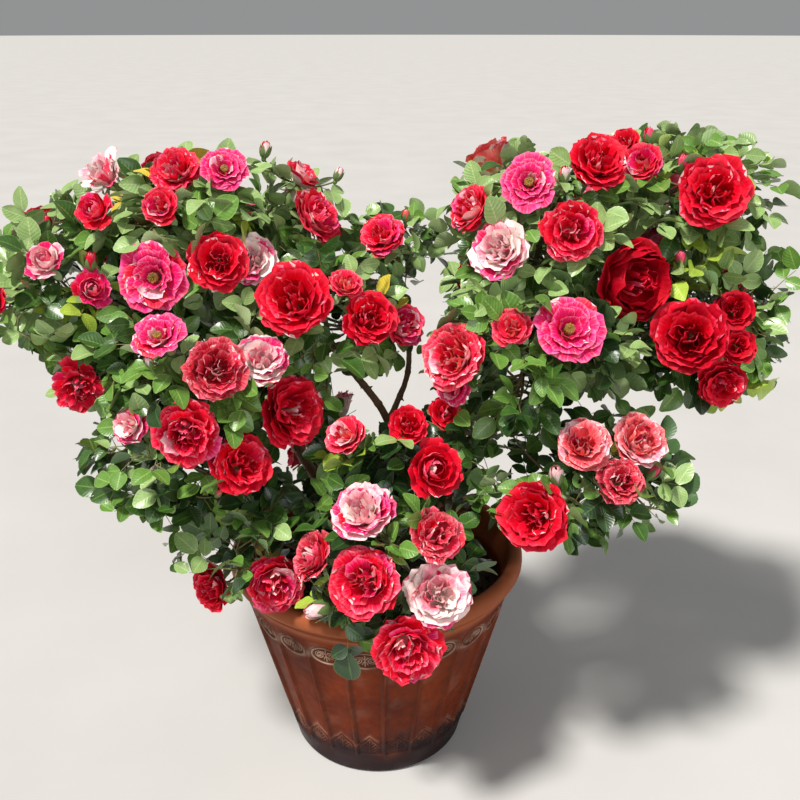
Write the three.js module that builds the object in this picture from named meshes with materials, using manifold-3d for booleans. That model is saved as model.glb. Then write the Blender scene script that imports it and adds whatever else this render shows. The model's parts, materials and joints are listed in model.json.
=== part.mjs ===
// A rose bush in full flower, standing in a flared clay pot with panelled sides.
// Millimetres, +Z up. X runs across the front and Y towards the back. The origin is the
// middle of the pot's flat underside.

import * as THREE from 'three';
import { mergeVertices } from 'three/addons/utils/BufferGeometryUtils.js';
import Module from 'manifold-3d';

const wasm = await Module();
wasm.setup();

// Pot: a straight flared wall with a plain foot, a smooth band under a fine ridge, and a
// thick rounded lip
const POT_HEIGHT = 400;
const BASE_RADIUS = 160;
const RIM_RADIUS = 270;
const MOUTH_RADIUS = 244;
const FLOOR_THICKNESS = 26;
const WALL_THICKNESS = 15;
const PANELS = 22;
const PANEL_TURN = -5.3;
const PANEL_BOTTOM = 56;
const PANEL_TOP = 326;
const PANEL_RECESS = 4.5;
const RIB_HALF_ANGLE = 1.1;
const RIB_FLANK_ANGLE = 1.1;
const RIDGE_HEIGHT = 356;
const RIDGE_DEPTH = 3;
const WALL_SET_BACK = 6;

// Soil: stands clear of the pot's wall and rises a little towards the stems
const SOIL_EDGE = 322;
const SOIL_CROWN = 334;
const SOIL_FLAT = 80;
const SOIL_SIDES = 36;
const SOIL_CLEARANCE = 1.4;
const GAP = 0.3;

// The low knuckle that every cane springs from, cut flat where it meets the soil
const KNUCKLE_RADIUS = 44;
const KNUCKLE_HEIGHT = 56;

// Leaves are flattened eight-sided blades, each standing for a spray of five leaflets
const LEAF_LENGTH = 116;
const LEAF_WIDTH = 72;
const LEAF_THICKNESS = 3;
const LEAF_WAIST = 0.42;
const LEAF_SUNK = 1.6;
const TWIG_RADIUS = 2.3;
const STEM_RADII = [6, 4.4];
const STEM_BEYOND = 0.45;
const FIRST_FORK = 0.2;
const SPACE_MARGIN = 1.2;
const LEAF_CLEARANCE = 5;
const LEAF_TRIES = [1, 1, 1, 0.82, 0.82, 0.82, 0.64, 0.64];
const LEAF_REACH = 1.08;
const GOLDEN_ANGLE = Math.PI * (3 - Math.sqrt(5));

// Masses of foliage: middle, half sizes across, deep and high, and how many twigs each has.
// Each keeps to its own share of the crown.
const MASSES = {
  left_top: { middle: [-260, 20, 985], half: [210, 180, 120], twigs: 6 },
  left_outer: { middle: [-500, 0, 880], half: [140, 160, 160], twigs: 7 },
  left_middle: { middle: [-285, -120, 790], half: [165, 160, 140], twigs: 5 },
  left_inner: { middle: [-80, -60, 850], half: [125, 145, 145], twigs: 5 },
  left_low: { middle: [-320, -150, 660], half: [145, 140, 95], twigs: 7 },
  low_left: { middle: [-180, -160, 505], half: [150, 130, 90], twigs: 6 },
  low_front: { middle: [20, -235, 520], half: [150, 125, 140], twigs: 4 },
  middle: { middle: [30, -110, 655], half: [135, 120, 100], twigs: 5 },
  right_low: { middle: [315, -170, 625], half: [185, 140, 105], twigs: 7 },
  right_middle: { middle: [245, -130, 820], half: [165, 150, 135], twigs: 6 },
  right_top: { middle: [280, -20, 1005], half: [165, 165, 125], twigs: 5 },
  right_crown: { middle: [500, 30, 1040], half: [185, 170, 100], twigs: 7 },
  right_outer: { middle: [550, -30, 850], half: [150, 160, 150], twigs: 7 },
  bridge: { middle: [40, 30, 950], half: [85, 95, 75], twigs: 5 },
  back_left: { middle: [-320, 230, 810], half: [220, 160, 190], twigs: 10 },
  back_right: { middle: [360, 230, 830], half: [230, 160, 200], twigs: 10 },
  back_low: { middle: [20, 215, 495], half: [200, 120, 95], twigs: 7 },
};

// Canes and boughs: what each grows from, the points it passes, its thickness at the foot
// and at the tip, and the mass that it carries. A bough starts inside its parent's line and
// is cut clear of it.
const LIMBS = {
  cane_left: {
    from: 'knuckle', radius: [11, 6], carries: 'left_top',
    path: [[-12, 4, 360], [-95, 12, 500], [-190, 22, 690], [-225, 22, 860]],
  },
  cane_inner: {
    from: 'knuckle', radius: [9.5, 5.5], carries: 'left_inner',
    path: [[4, 6, 372], [34, 14, 500], [22, 4, 640], [-62, -26, 778]],
  },
  cane_left_front: {
    from: 'knuckle', radius: [10, 5.5], carries: 'left_middle',
    path: [[-14, -8, 356], [-110, -52, 470], [-196, -92, 590], [-232, -112, 690]],
  },
  cane_low_left: {
    from: 'knuckle', radius: [8, 5], carries: 'low_left',
    path: [[-12, -14, 350], [-60, -72, 404], [-112, -118, 450]],
  },
  cane_low_front: {
    from: 'knuckle', radius: [8, 5], carries: 'low_front',
    path: [[2, -16, 352], [8, -92, 404], [14, -158, 462]],
  },
  cane_middle: {
    from: 'knuckle', radius: [8.5, 5], carries: 'middle',
    path: [[4, -6, 366], [14, -42, 470], [26, -76, 580]],
  },
  cane_right: {
    from: 'knuckle', radius: [12, 6], carries: 'right_top',
    path: [[14, 4, 360], [108, 8, 520], [196, 2, 710], [256, -10, 900]],
  },
  cane_right_front: {
    from: 'knuckle', radius: [10, 5.5], carries: 'right_middle',
    path: [[14, -8, 354], [92, -50, 480], [172, -88, 620], [214, -108, 712]],
  },
  cane_back_left: {
    from: 'knuckle', radius: [10, 5.5], carries: 'back_left',
    path: [[-8, 12, 358], [-100, 108, 500], [-216, 178, 662]],
  },
  cane_back_right: {
    from: 'knuckle', radius: [10, 5.5], carries: 'back_right',
    path: [[10, 12, 358], [120, 108, 510], [242, 180, 676]],
  },
  cane_back_low: {
    from: 'knuckle', radius: [7.5, 5], carries: 'back_low',
    path: [[0, 16, 350], [8, 76, 402], [14, 132, 448]],
  },
  bough_outer_left: {
    from: 'cane_left', start: 0.62, radius: [7.5, 5], carries: 'left_outer',
    path: [[-290, 16, 716], [-392, 8, 822]],
  },
  bough_low_left: {
    from: 'cane_left_front', start: 0.5, radius: [6.5, 4.5], carries: 'left_low',
    path: [[-212, -104, 566], [-262, -126, 600]],
  },
  bough_bridge: {
    from: 'cane_inner', start: 0.62, radius: [5.5, 4], carries: 'bridge',
    path: [[58, 6, 740], [46, 18, 872]],
  },
  bough_crown_right: {
    from: 'cane_right', start: 0.66, radius: [8, 5], carries: 'right_crown',
    path: [[300, 12, 830], [398, 22, 960]],
  },
  bough_outer_right: {
    from: 'cane_right', start: 0.42, radius: [8, 5], carries: 'right_outer',
    path: [[270, 2, 680], [420, -14, 782]],
  },
  bough_low_right: {
    from: 'cane_right_front', start: 0.45, radius: [6.5, 4.5], carries: 'right_low',
    path: [[186, -88, 540], [236, -120, 578]],
  },
};

// Roses seen from the front: form, width across, and the place of the middle
const FRONT_ROSES = [
  ['full', 78, -430, 0, 1074], ['full', 62, -426, -84, 1034], ['full', 80, -300, -70, 1090],
  ['open', 76, -226, -72, 1092], ['full', 62, -112, -10, 1072],
  ['full', 96, -88, -72, 1018], ['full', 76, 14, -52, 984], ['full', 60, -316, -120, 1044],
  ['full', 66, -500, -118, 964], ['full', 62, -430, -128, 922],
  ['full', 64, -600, -96, 892], ['open', 108, -330, -150, 944],
  ['open', 84, -312, -236, 880], ['full', 92, -232, -150, 968],
  ['full', 84, -186, -128, 964], ['full', 118, -118, -186, 918],
  ['full', 56, -42, -166, 936], ['full', 88, -8, -176, 884], ['full', 76, 46, -106, 852],
  ['full', 84, -482, -92, 752], ['full', 96, -230, -250, 832],
  ['full', 84, -168, -214, 834], ['full', 116, -130, -178, 738],
  ['full', 58, -366, -240, 742], ['full', 104, -280, -252, 734],
  ['full', 98, -204, -240, 676], ['full', 70, -46, -196, 702],
  ['full', 84, -272, -190, 428], ['full', 98, -166, -228, 458],
  ['full', 84, -96, -282, 540], ['full', 98, -20, -296, 622], ['full', 114, -18, -340, 530],
  ['bud', 50, -90, -324, 470], ['full', 92, 92, -214, 652], ['full', 112, 238, -290, 608],
  ['full', 86, 88, -300, 584], ['full', 104, 92, -334, 500], ['full', 112, 44, -350, 416],
  ['full', 88, 314, -250, 706], ['full', 92, 406, -226, 700], ['full', 74, 366, -280, 660],
  ['full', 104, 118, -216, 838], ['full', 62, 122, -180, 776],
  ['open', 92, 230, -136, 1080], ['full', 80, 150, -106, 1036],
  ['full', 94, 190, -158, 984], ['full', 92, 290, -178, 1016],
  ['full', 92, 338, -104, 1104], ['full', 54, 398, -10, 1120], ['full', 66, 414, -72, 1098],
  ['full', 108, 510, -130, 1064], ['full', 122, 424, -140, 900],
  ['full', 118, 478, -184, 824], ['full', 66, 552, -160, 888], ['full', 60, 560, -170, 834],
  ['full', 84, 546, -160, 770], ['full', 62, 200, -234, 886], ['open', 106, 282, -240, 886],
  ['full', 64, 50, -190, 716], ['full', 60, 112, -150, 718],
];

// Roses on the far side, shared out over the backs of these masses
const BACK_ROSES = {
  left_top: 3, left_outer: 2, right_top: 2, right_crown: 3, right_outer: 2,
  back_left: 6, back_right: 7, back_low: 3,
};
const BACK_ROSE_WIDTH = 96;

// Half profile of each form of rose, out from the stalk and round to the middle of the cup,
// as parts of its half width
const ROSE_PROFILES = {
  full: [[0, -0.52], [1, 0.06], [0.6, 0.44], [0, 0.24]],
  open: [[0, -0.4], [1, 0.12], [0.5, 0.2], [0, 0.02]],
  bud: [[0, -1], [0.72, -0.2], [0.5, 0.7], [0, 1]],
};
const ROSE_SIDES = 6;
const ROSE_NOTCH = 0.87;

const CLAY = { color: 0x8a4630, roughness: 0.78, metalness: 0 };
const EARTH = { color: 0x2b2019, roughness: 0.95, metalness: 0 };
const OLD_WOOD = { color: 0x5e4a38, roughness: 0.9, metalness: 0 };
const CANE_BARK = { color: 0x5a3a2a, roughness: 0.75, metalness: 0 };
const FOLIAGE = { color: 0x3d6b34, roughness: 0.5, metalness: 0 };

const vector = (p) => new THREE.Vector3(...p);
const mix = (a, b, t) => a + (b - a) * t;

// A repeatable stream of numbers from 0 to 1
function seeded(seed) {
  let state = seed >>> 0;
  return () => {
    state = (Math.imul(state, 1664525) + 1013904223) >>> 0;
    return state / 4294967296;
  };
}

// Turns a closed geometry into a solid that can be joined and cut
function solidOf(geometry) {
  const bare = geometry.clone();
  bare.deleteAttribute('normal');
  bare.deleteAttribute('uv');
  const merged = mergeVertices(bare, 1e-4);
  return new wasm.Manifold(new wasm.Mesh({
    numProp: 3,
    vertProperties: new Float32Array(merged.attributes.position.array),
    triVerts: new Uint32Array(merged.index.array),
  }));
}

function geometryOf(solid) {
  const mesh = solid.getMesh();
  const geometry = new THREE.BufferGeometry();
  geometry.setAttribute('position', new THREE.BufferAttribute(new Float32Array(mesh.vertProperties), 3));
  geometry.setIndex(new THREE.BufferAttribute(new Uint32Array(mesh.triVerts), 1));
  return geometry;
}

// The one body that holds most of the material; loose scraps and sealed hollows are dropped
function mainBody(solid) {
  return solid.decompose().sort((a, b) => b.volume() - a.volume())[0];
}

// A tapered round limb along a smooth line, closed at both ends
function limbGeometry(points, radii, sides, steps) {
  const curve = new THREE.CatmullRomCurve3(points);
  const frames = curve.computeFrenetFrames(steps, false);
  const positions = [];
  const index = [];
  for (let i = 0; i <= steps; i++) {
    const centre = curve.getPointAt(i / steps);
    const radius = mix(radii[0], radii[1], i / steps);
    for (let j = 0; j < sides; j++) {
      const angle = (j / sides) * 2 * Math.PI;
      const rim = centre.clone()
        .addScaledVector(frames.normals[i], radius * Math.cos(angle))
        .addScaledVector(frames.binormals[i], radius * Math.sin(angle));
      positions.push(rim.x, rim.y, rim.z);
    }
  }
  for (let i = 0; i < steps; i++) {
    for (let j = 0; j < sides; j++) {
      const next = (j + 1) % sides;
      const [a, b] = [i * sides + j, i * sides + next];
      const [c, d] = [b + sides, a + sides];
      index.push(a, b, c, a, c, d);
    }
  }
  const top = steps * sides;
  for (let j = 1; j < sides - 1; j++) {
    index.push(0, j + 1, j, top, top + j, top + j + 1);
  }
  const geometry = new THREE.BufferGeometry();
  geometry.setAttribute('position', new THREE.Float32BufferAttribute(positions, 3));
  geometry.setIndex(index);
  return geometry;
}

// The outer radius of the pot's straight wall at a height
function wallRadius(z) {
  return mix(BASE_RADIUS, RIM_RADIUS - WALL_SET_BACK, z / POT_HEIGHT);
}

// The pot: one turned wall, whose columns are drawn together at each rib and pushed in at
// each panel between two ribs, then turned so that a panel's middle lies at PANEL_TURN degrees
// from the front
function potGeometry() {
  const columns = PANELS * 4;
  const profile = [
    [0, 0], [BASE_RADIUS, 0], [wallRadius(PANEL_BOTTOM - 6), PANEL_BOTTOM - 6],
    [wallRadius(PANEL_BOTTOM), PANEL_BOTTOM], [wallRadius(PANEL_TOP), PANEL_TOP],
    [wallRadius(PANEL_TOP + 6), PANEL_TOP + 6], [wallRadius(RIDGE_HEIGHT) + RIDGE_DEPTH, RIDGE_HEIGHT],
    [RIM_RADIUS, POT_HEIGHT - 13], [RIM_RADIUS - 7, POT_HEIGHT], [MOUTH_RADIUS + 7, POT_HEIGHT],
    [MOUTH_RADIUS, POT_HEIGHT - 8],
    [wallRadius(FLOOR_THICKNESS) - WALL_THICKNESS, FLOOR_THICKNESS], [0, FLOOR_THICKNESS],
  ].map(([r, z]) => new THREE.Vector2(r, z));
  const geometry = new THREE.LatheGeometry(profile, columns);
  geometry.rotateX(Math.PI / 2);
  const position = geometry.attributes.position;
  const pitch = (2 * Math.PI) / PANELS;
  const rib = THREE.MathUtils.degToRad(RIB_HALF_ANGLE);
  const flank = rib + THREE.MathUtils.degToRad(RIB_FLANK_ANGLE);
  const places = [-rib, rib, flank, pitch - flank];
  const ribbed = (row) => row >= 2 && row <= 5;
  const recessed = (row) => row === 3 || row === 4;
  for (let i = 0; i <= columns; i++) {
    for (let row = 0; row < profile.length; row++) {
      if (!ribbed(row)) continue;
      const column = i % 4;
      const angle = Math.floor(i / 4) * pitch + places[column] - Math.PI / 2;
      const inPanel = recessed(row) && column >= 2;
      const radius = profile[row].x - (inPanel ? PANEL_RECESS : 0);
      position.setXY(i * profile.length + row, radius * Math.cos(angle), radius * Math.sin(angle));
    }
  }
  geometry.rotateZ(THREE.MathUtils.degToRad(PANEL_TURN) - pitch / 2);
  return geometry;
}

function soilGeometry() {
  const edge = (z) => mix(
    wallRadius(FLOOR_THICKNESS) - WALL_THICKNESS, MOUTH_RADIUS,
    (z - FLOOR_THICKNESS) / (POT_HEIGHT - 8 - FLOOR_THICKNESS),
  ) - SOIL_CLEARANCE;
  const bottom = FLOOR_THICKNESS + GAP;
  const profile = [
    [0, bottom], [edge(bottom), bottom], [edge(SOIL_EDGE), SOIL_EDGE], [SOIL_FLAT, SOIL_CROWN],
    [0, SOIL_CROWN],
  ].map(([r, z]) => new THREE.Vector2(r, z));
  const geometry = new THREE.LatheGeometry(profile, SOIL_SIDES);
  geometry.rotateX(Math.PI / 2);
  return geometry;
}

// The knuckle, larger all round by grow where a cane is cut clear of it
function knuckleGeometry(grow) {
  const profile = [[0, 0], [1, 0], [0.86, 0.2], [0.9, 0.45], [0.62, 0.82], [0, 1]]
    .map(([r, h]) => new THREE.Vector2(
      r * KNUCKLE_RADIUS + (r > 0 ? grow : 0),
      h * KNUCKLE_HEIGHT + (h > 0 ? grow * 1.4 : -grow * 1.4),
    ));
  const sides = 10;
  const geometry = new THREE.LatheGeometry(profile, sides);
  geometry.rotateX(Math.PI / 2);
  const position = geometry.attributes.position;
  for (let i = 0; i <= sides; i++) {
    const bulge = 1 + 0.09 * Math.sin((i % sides) * 2.4);
    for (let row = 0; row < profile.length; row++) {
      const k = i * profile.length + row;
      position.setXY(k, position.getX(k) * bulge, position.getY(k) * bulge);
    }
  }
  geometry.translate(0, 0, SOIL_CROWN + GAP);
  return geometry;
}

const LIMB_SIDES = 5;
const LIMB_STEPS = 5;

// A limb's line: a bough's starts on its parent's
function limbPoints(name) {
  const limb = LIMBS[name];
  const points = limb.path.map(vector);
  if (limb.start === undefined) return points;
  const parent = new THREE.CatmullRomCurve3(limbPoints(limb.from));
  return [parent.getPointAt(limb.start), ...points];
}

function limbSolid(name, grow) {
  const [foot, tip] = LIMBS[name].radius;
  return solidOf(limbGeometry(limbPoints(name), [foot + grow, tip + grow], LIMB_SIDES, LIMB_STEPS));
}

// A cane or bough, cut clear of what it grows from
function cutLimb(name) {
  const clearance = GAP + 0.1;
  const parent = LIMBS[name].from;
  const stock = parent === 'knuckle' ? solidOf(knuckleGeometry(clearance)) : limbSolid(parent, clearance);
  return mainBody(limbSolid(name, 0).subtract(stock));
}

// Each limb as a row of round beads, to keep twigs and leaves off it
function limbBeads() {
  const beads = [];
  for (const [name, limb] of Object.entries(LIMBS)) {
    const curve = new THREE.CatmullRomCurve3(limbPoints(name));
    const count = Math.ceil(curve.getLength() / 8);
    for (let i = 0; i <= count; i++) {
      beads.push({ at: curve.getPointAt(i / count), radius: mix(...limb.radius, i / count) });
    }
  }
  return beads;
}

const BEADS = limbBeads();

// The roots of the masses: just off the tips of the limbs that carry them
function massRoots() {
  const roots = {};
  for (const [name, limb] of Object.entries(LIMBS)) {
    const curve = new THREE.CatmullRomCurve3(limbPoints(name));
    const way = curve.getTangentAt(1);
    roots[limb.carries] = { at: curve.getPointAt(1).addScaledVector(way, GAP), way };
  }
  return roots;
}

const ROOTS = massRoots();
const SPACES = Object.entries(MASSES).map(([name, m]) => ({
  name,
  middle: vector(m.middle),
  half: vector(m.half),
  weight: ((m.half[0] + m.half[1] + m.half[2]) / 3) ** 2,
  twigs: m.twigs,
}));

// How deep a point lies inside a mass's own share of the crown, in millimetres
function depthInShare(space, p) {
  const own = p.distanceToSquared(space.middle) - space.weight;
  let depth = Infinity;
  for (const other of SPACES) {
    if (other === space) continue;
    const theirs = p.distanceToSquared(other.middle) - other.weight;
    depth = Math.min(depth, (theirs - own) / (2 * space.middle.distanceTo(other.middle)));
  }
  return depth;
}

function spread(space, p) {
  return p.clone().sub(space.middle).divide(space.half).length();
}

// Whether a small ball is clear of the pot's wall and of the soil
function clearOfPot(p, radius) {
  const across = Math.hypot(p.x, p.y);
  if (p.z - radius > POT_HEIGHT + 2) return true;
  if (across - radius > mix(BASE_RADIUS, RIM_RADIUS, p.z / POT_HEIGHT) + 3) return true;
  return across + radius < MOUTH_RADIUS - 6 && p.z - radius > SOIL_CROWN + 2;
}

// Every rose, with the mass that its stalk grows from
function placeRoses() {
  const roses = [];
  const add = (form, width, at, face) => {
    const base = at.clone().addScaledVector(face, ROSE_PROFILES[form][0][1] * width / 2);
    const space = SPACES.reduce((a, b) => (depthInShare(a, base) > depthInShare(b, base) ? a : b));
    roses.push({ form, radius: width / 2, at, face, base, space });
  };
  const facing = (at, middle) => {
    const out = at.clone().sub(middle).normalize();
    return out.add(new THREE.Vector3(0, 0, 0.45)).normalize();
  };
  for (const [form, width, ...place] of FRONT_ROSES) {
    const at = vector(place);
    const space = SPACES.reduce((a, b) => (spread(a, at) < spread(b, at) ? a : b));
    add(form, width, at, facing(at, space.middle));
  }
  for (const [name, count] of Object.entries(BACK_ROSES)) {
    const space = SPACES.find((s) => s.name === name);
    for (let k = 0; k < count; k++) {
      const turn = Math.PI / 2 + ((k * 0.618 + 0.2) % 1 - 0.5) * 2.3;
      const rise = ((k * 0.382 + 0.35) % 1 - 0.28) * 1.5;
      const way = new THREE.Vector3(
        Math.cos(turn) * Math.cos(rise), Math.sin(turn) * Math.cos(rise), Math.sin(rise),
      );
      const at = way.clone().multiply(space.half).multiplyScalar(0.97).add(space.middle);
      const width = BACK_ROSE_WIDTH * (0.86 + 0.28 * ((k * 0.55) % 1));
      const crowded = roses.some((r) => r.at.distanceTo(at) < (r.radius + width / 2) * 1.04);
      if (!crowded) add('full', width, at, facing(at, space.middle));
    }
  }
  return roses;
}

const ROSES = placeRoses();

// Whether a straight line of a mass, as thick as radius, is clear of the limbs, of the pot
// and of the roses of other masses
function isClear(space, from, to, radius, nearRoot) {
  const steps = Math.max(2, Math.ceil(from.distanceTo(to) / 10));
  for (let i = 0; i <= steps; i++) {
    const p = from.clone().lerp(to, i / steps);
    if (!clearOfPot(p, radius)) return false;
    if (nearRoot && p.distanceTo(ROOTS[space.name].at) < 14) continue;
    if (BEADS.some((b) => b.at.distanceTo(p) < b.radius + radius + 2.5)) return false;
    for (const rose of ROSES) {
      if (rose.space === space) continue;
      if (rose.at.distanceTo(p) < rose.radius + radius + SPACE_MARGIN) return false;
    }
  }
  return true;
}

// Whether a twig stays in its mass's own share of the crown, clear of all else
function twigFits(space, from, to) {
  const margin = TWIG_RADIUS + SPACE_MARGIN;
  if (Math.min(depthInShare(space, from), depthInShare(space, to)) < margin) return false;
  return isClear(space, from, to, TWIG_RADIUS, true);
}

// A straight line as a row of beads, to keep later leaves of the same mass off it
function lineBeads(from, to, radius) {
  const count = Math.ceil(from.distanceTo(to) / 8);
  return Array.from({ length: count + 1 }, (_, i) => (
    { at: from.clone().lerp(to, i / count), radius }
  ));
}

// Whether a blade with these corners stays in its mass's own space, clear of all else
function leafFits(space, taken, root, tip, left, right) {
  const corners = [tip, left, right];
  const inside = (p) => depthInShare(space, p) > SPACE_MARGIN + 1 && spread(space, p) < LEAF_REACH;
  if (!corners.every(inside)) return false;
  const near = taken.filter((b) => b.at.distanceTo(root) > 11);
  const start = root.clone().lerp(tip, 0.08);
  const lines = [[start, tip], [left, tip], [right, tip], [start, left], [start, right]];
  const free = ([a, b]) => lineBeads(a, b, LEAF_CLEARANCE / 2).every(
    (p) => near.every((t) => t.at.distanceTo(p.at) > t.radius + p.radius),
  );
  return lines.every(free) && lines.every(([a, b]) => isClear(space, a, b, LEAF_CLEARANCE, false));
}

function roseGeometry(rose) {
  const points = ROSE_PROFILES[rose.form];
  const profile = points.map(([r, h]) => new THREE.Vector2(r * rose.radius, h * rose.radius));
  const sides = rose.form === 'bud' ? 5 : ROSE_SIDES;
  const geometry = new THREE.LatheGeometry(profile, sides);
  const position = geometry.attributes.position;
  for (let i = 1; i < sides && rose.form !== 'bud'; i += 2) {
    const k = i * profile.length + 1;
    position.setXYZ(k, position.getX(k) * ROSE_NOTCH, position.getY(k), position.getZ(k) * ROSE_NOTCH);
  }
  const up = new THREE.Vector3(0, 1, 0);
  geometry.applyQuaternion(new THREE.Quaternion().setFromUnitVectors(up, rose.face));
  geometry.translate(...rose.at.toArray());
  return geometry;
}

// The corners of a blade: root, tip, and the widest points to each side
function leafCorners(root, way, across, length, width) {
  const waist = root.clone().addScaledVector(way, length * LEAF_WAIST);
  return {
    tip: root.clone().addScaledVector(way, length),
    left: waist.clone().addScaledVector(across, width / 2),
    right: waist.clone().addScaledVector(across, -width / 2),
  };
}

// A blade from its root, sunk in the twig, to its tip
function leafGeometry(root, way, across, length, width, sunk) {
  const { tip, left, right } = leafCorners(root, way, across, length, width);
  const up = new THREE.Vector3().crossVectors(way, across).multiplyScalar(LEAF_THICKNESS / 2);
  const waist = left.clone().lerp(right, 0.5);
  const corner = { x: [root.clone().addScaledVector(way, -sunk), tip], y: [right, left] };
  corner.z = [waist.clone().sub(up), waist.clone().add(up)];
  const geometry = new THREE.OctahedronGeometry(1);
  const position = geometry.attributes.position;
  for (let i = 0; i < position.count; i++) {
    const place = [position.getX(i), position.getY(i), position.getZ(i)];
    const axis = place.findIndex((value) => Math.abs(value) > 0.5);
    const p = corner['xyz'[axis]][place[axis] > 0 ? 1 : 0];
    position.setXYZ(i, p.x, p.y, p.z);
  }
  return geometry;
}

// Any direction square to way, nearest to wish
function squareTo(way, wish) {
  return wish.clone().addScaledVector(way, -wish.dot(way)).normalize();
}

// Leaves at the tip of a twig and by turns along its sides, each turned on until it is clear
// of what its mass already holds, and smaller where there is little room
function leavesOnTwig(space, from, to, stations, taken, random) {
  const leaves = [];
  const way = to.clone().sub(from);
  way.normalize();
  const up = new THREE.Vector3(0, 0, 1);
  const outward = to.clone().sub(space.middle).normalize();
  const side = new THREE.Vector3().crossVectors(way, up).normalize();
  const above = new THREE.Vector3().crossVectors(side, way);
  for (const t of stations) {
    const size = mix(0.88, 1.15, random());
    const bend = t === 1 ? 0.4 : 1.2;
    const root = from.clone().lerp(to, t);
    let turn = random() * 2 * Math.PI;
    for (const shrink of LEAF_TRIES) {
      turn += GOLDEN_ANGLE;
      const leafWay = way.clone()
        .addScaledVector(side, bend * Math.cos(turn))
        .addScaledVector(above, bend * Math.sin(turn))
        .normalize();
      const across = new THREE.Vector3()
        .crossVectors(squareTo(leafWay, outward.clone().add(up)), leafWay);
      const reach = LEAF_LENGTH * size * shrink;
      const width = LEAF_WIDTH * size * shrink;
      const { tip, left, right } = leafCorners(root, leafWay, across, reach, width);
      if (!leafFits(space, taken, root, tip, left, right)) continue;
      const sunk = t === 1 ? LEAF_SUNK * 3 : LEAF_SUNK;
      leaves.push(leafGeometry(root, leafWay, across, reach, width, sunk));
      taken.push(
        { at: root.clone().lerp(tip, 0.3), radius: width * 0.26 },
        { at: root.clone().lerp(tip, 0.5), radius: width * 0.3 },
        { at: root.clone().lerp(tip, 0.74), radius: width * 0.16 },
      );
      break;
    }
  }
  return leaves;
}

// The line of a mass's stem: on from its limb's tip, through the middle and towards the
// far side
function stemPoints(space) {
  const root = ROOTS[space.name];
  const span = root.at.distanceTo(space.middle);
  const onward = space.middle.clone().sub(root.at).normalize();
  const far = onward.multiply(space.half).multiplyScalar(STEM_BEYOND).add(space.middle);
  return [root.at, root.at.clone().addScaledVector(root.way, span * 0.4), space.middle, far];
}

// Where each twig leaves the stem: in the order in which their ends lie along it, at even
// steps, so that no two start at one place
function shareForks(stem, ends) {
  const nearest = (end) => {
    let best = 0;
    for (let t = 0; t <= 1; t += 0.05) {
      if (stem.getPointAt(t).distanceTo(end) < stem.getPointAt(best).distanceTo(end)) best = t;
    }
    return best;
  };
  const order = ends.map((end, k) => [nearest(end), k]).sort((a, b) => a[0] - b[0] || a[1] - b[1]);
  const forks = [];
  order.forEach(([, k], rank) => {
    forks[k] = stem.getPointAt(mix(FIRST_FORK, 0.99, rank / Math.max(1, ends.length - 1)));
  });
  return forks;
}

// Where the twigs of a mass would end: even directions all round its middle
function twigEnds(space, seed) {
  const ends = [];
  for (let k = 0; k < space.twigs; k++) {
    const height = 1 - (2 * k + 1) / space.twigs;
    const turn = k * GOLDEN_ANGLE + seed;
    const ring = Math.sqrt(1 - height * height);
    const way = new THREE.Vector3(ring * Math.cos(turn), ring * Math.sin(turn), height);
    ends.push(way.multiply(space.half).add(space.middle));
  }
  return ends;
}

// One mass: a stem, twigs out to the edge of its space, roses on stalks of their own, leaves
function massSolid(space, seed) {
  const random = seeded(seed);
  const line = stemPoints(space);
  const stem = new THREE.CatmullRomCurve3(line);
  const roses = ROSES.filter((r) => r.space === space);
  const ends = twigEnds(space, seed);
  const forks = shareForks(stem, [...roses.map((r) => r.base), ...ends]);
  const pieces = [limbGeometry(line, STEM_RADII, 4, 4)];
  const taken = line.slice(1).flatMap((p, k) => lineBeads(line[k], p, STEM_RADII[0]));
  const grow = (fork, end, taper) => {
    pieces.push(limbGeometry([fork, end], [TWIG_RADIUS, TWIG_RADIUS * taper], 3, 1));
    taken.push(...lineBeads(fork, end, TWIG_RADIUS));
  };
  const twigs = [];
  roses.forEach((rose, k) => {
    const seat = rose.base.clone().addScaledVector(rose.face, rose.radius * 0.12);
    grow(forks[k], seat, 0.9);
    twigs.push([forks[k], seat, [0.55]]);
    pieces.push(roseGeometry(rose));
    taken.push({ at: rose.at, radius: rose.radius * 0.85 });
  });
  ends.forEach((end, k) => {
    const fork = forks[roses.length + k];
    const wander = mix(0.72, 0.9, random());
    for (const reach of [wander, wander * 0.8, wander * 0.6]) {
      const tip = end.clone().sub(space.middle).multiplyScalar(reach).add(space.middle);
      const bare = roses.every((r) => lineBeads(fork, tip, 0).every(
        (b) => b.at.distanceTo(r.at) > r.radius * 0.9,
      ));
      if (!bare || !twigFits(space, fork, tip)) continue;
      grow(fork, tip, 0.75);
      twigs.push([fork, tip, [1, 0.58]]);
      break;
    }
  });
  for (const [fork, tip, stations] of twigs) {
    pieces.push(...leavesOnTwig(space, fork, tip, stations, taken, random));
  }
  return mainBody(wasm.Manifold.union(pieces.map(solidOf)));
}

const bush = new THREE.Group();

function addPiece(name, geometry, look) {
  const mesh = new THREE.Mesh(geometry, new THREE.MeshStandardMaterial(look));
  mesh.name = name;
  bush.add(mesh);
}

addPiece('pot', potGeometry(), CLAY);
addPiece('soil', soilGeometry(), EARTH);
addPiece('stem_knuckle', knuckleGeometry(0), OLD_WOOD);
for (const name of Object.keys(LIMBS)) addPiece(name, geometryOf(cutLimb(name)), CANE_BARK);
SPACES.forEach((space, k) => addPiece(`mass_${space.name}`, geometryOf(massSolid(space, 11 + k)), FOLIAGE));

export default bush;
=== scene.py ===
# %% [markdown]
# # A rose bush in its pot
# A garden rose in full flower stands in a flared clay pot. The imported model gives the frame:
# where the pot stands, where each cane runs, how far each mass of foliage reaches. Everything
# that is made below keeps to that frame. The origin is the middle of the pot's underside,
# X runs across the front, Y towards the back, and Blender works in metres.

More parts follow.
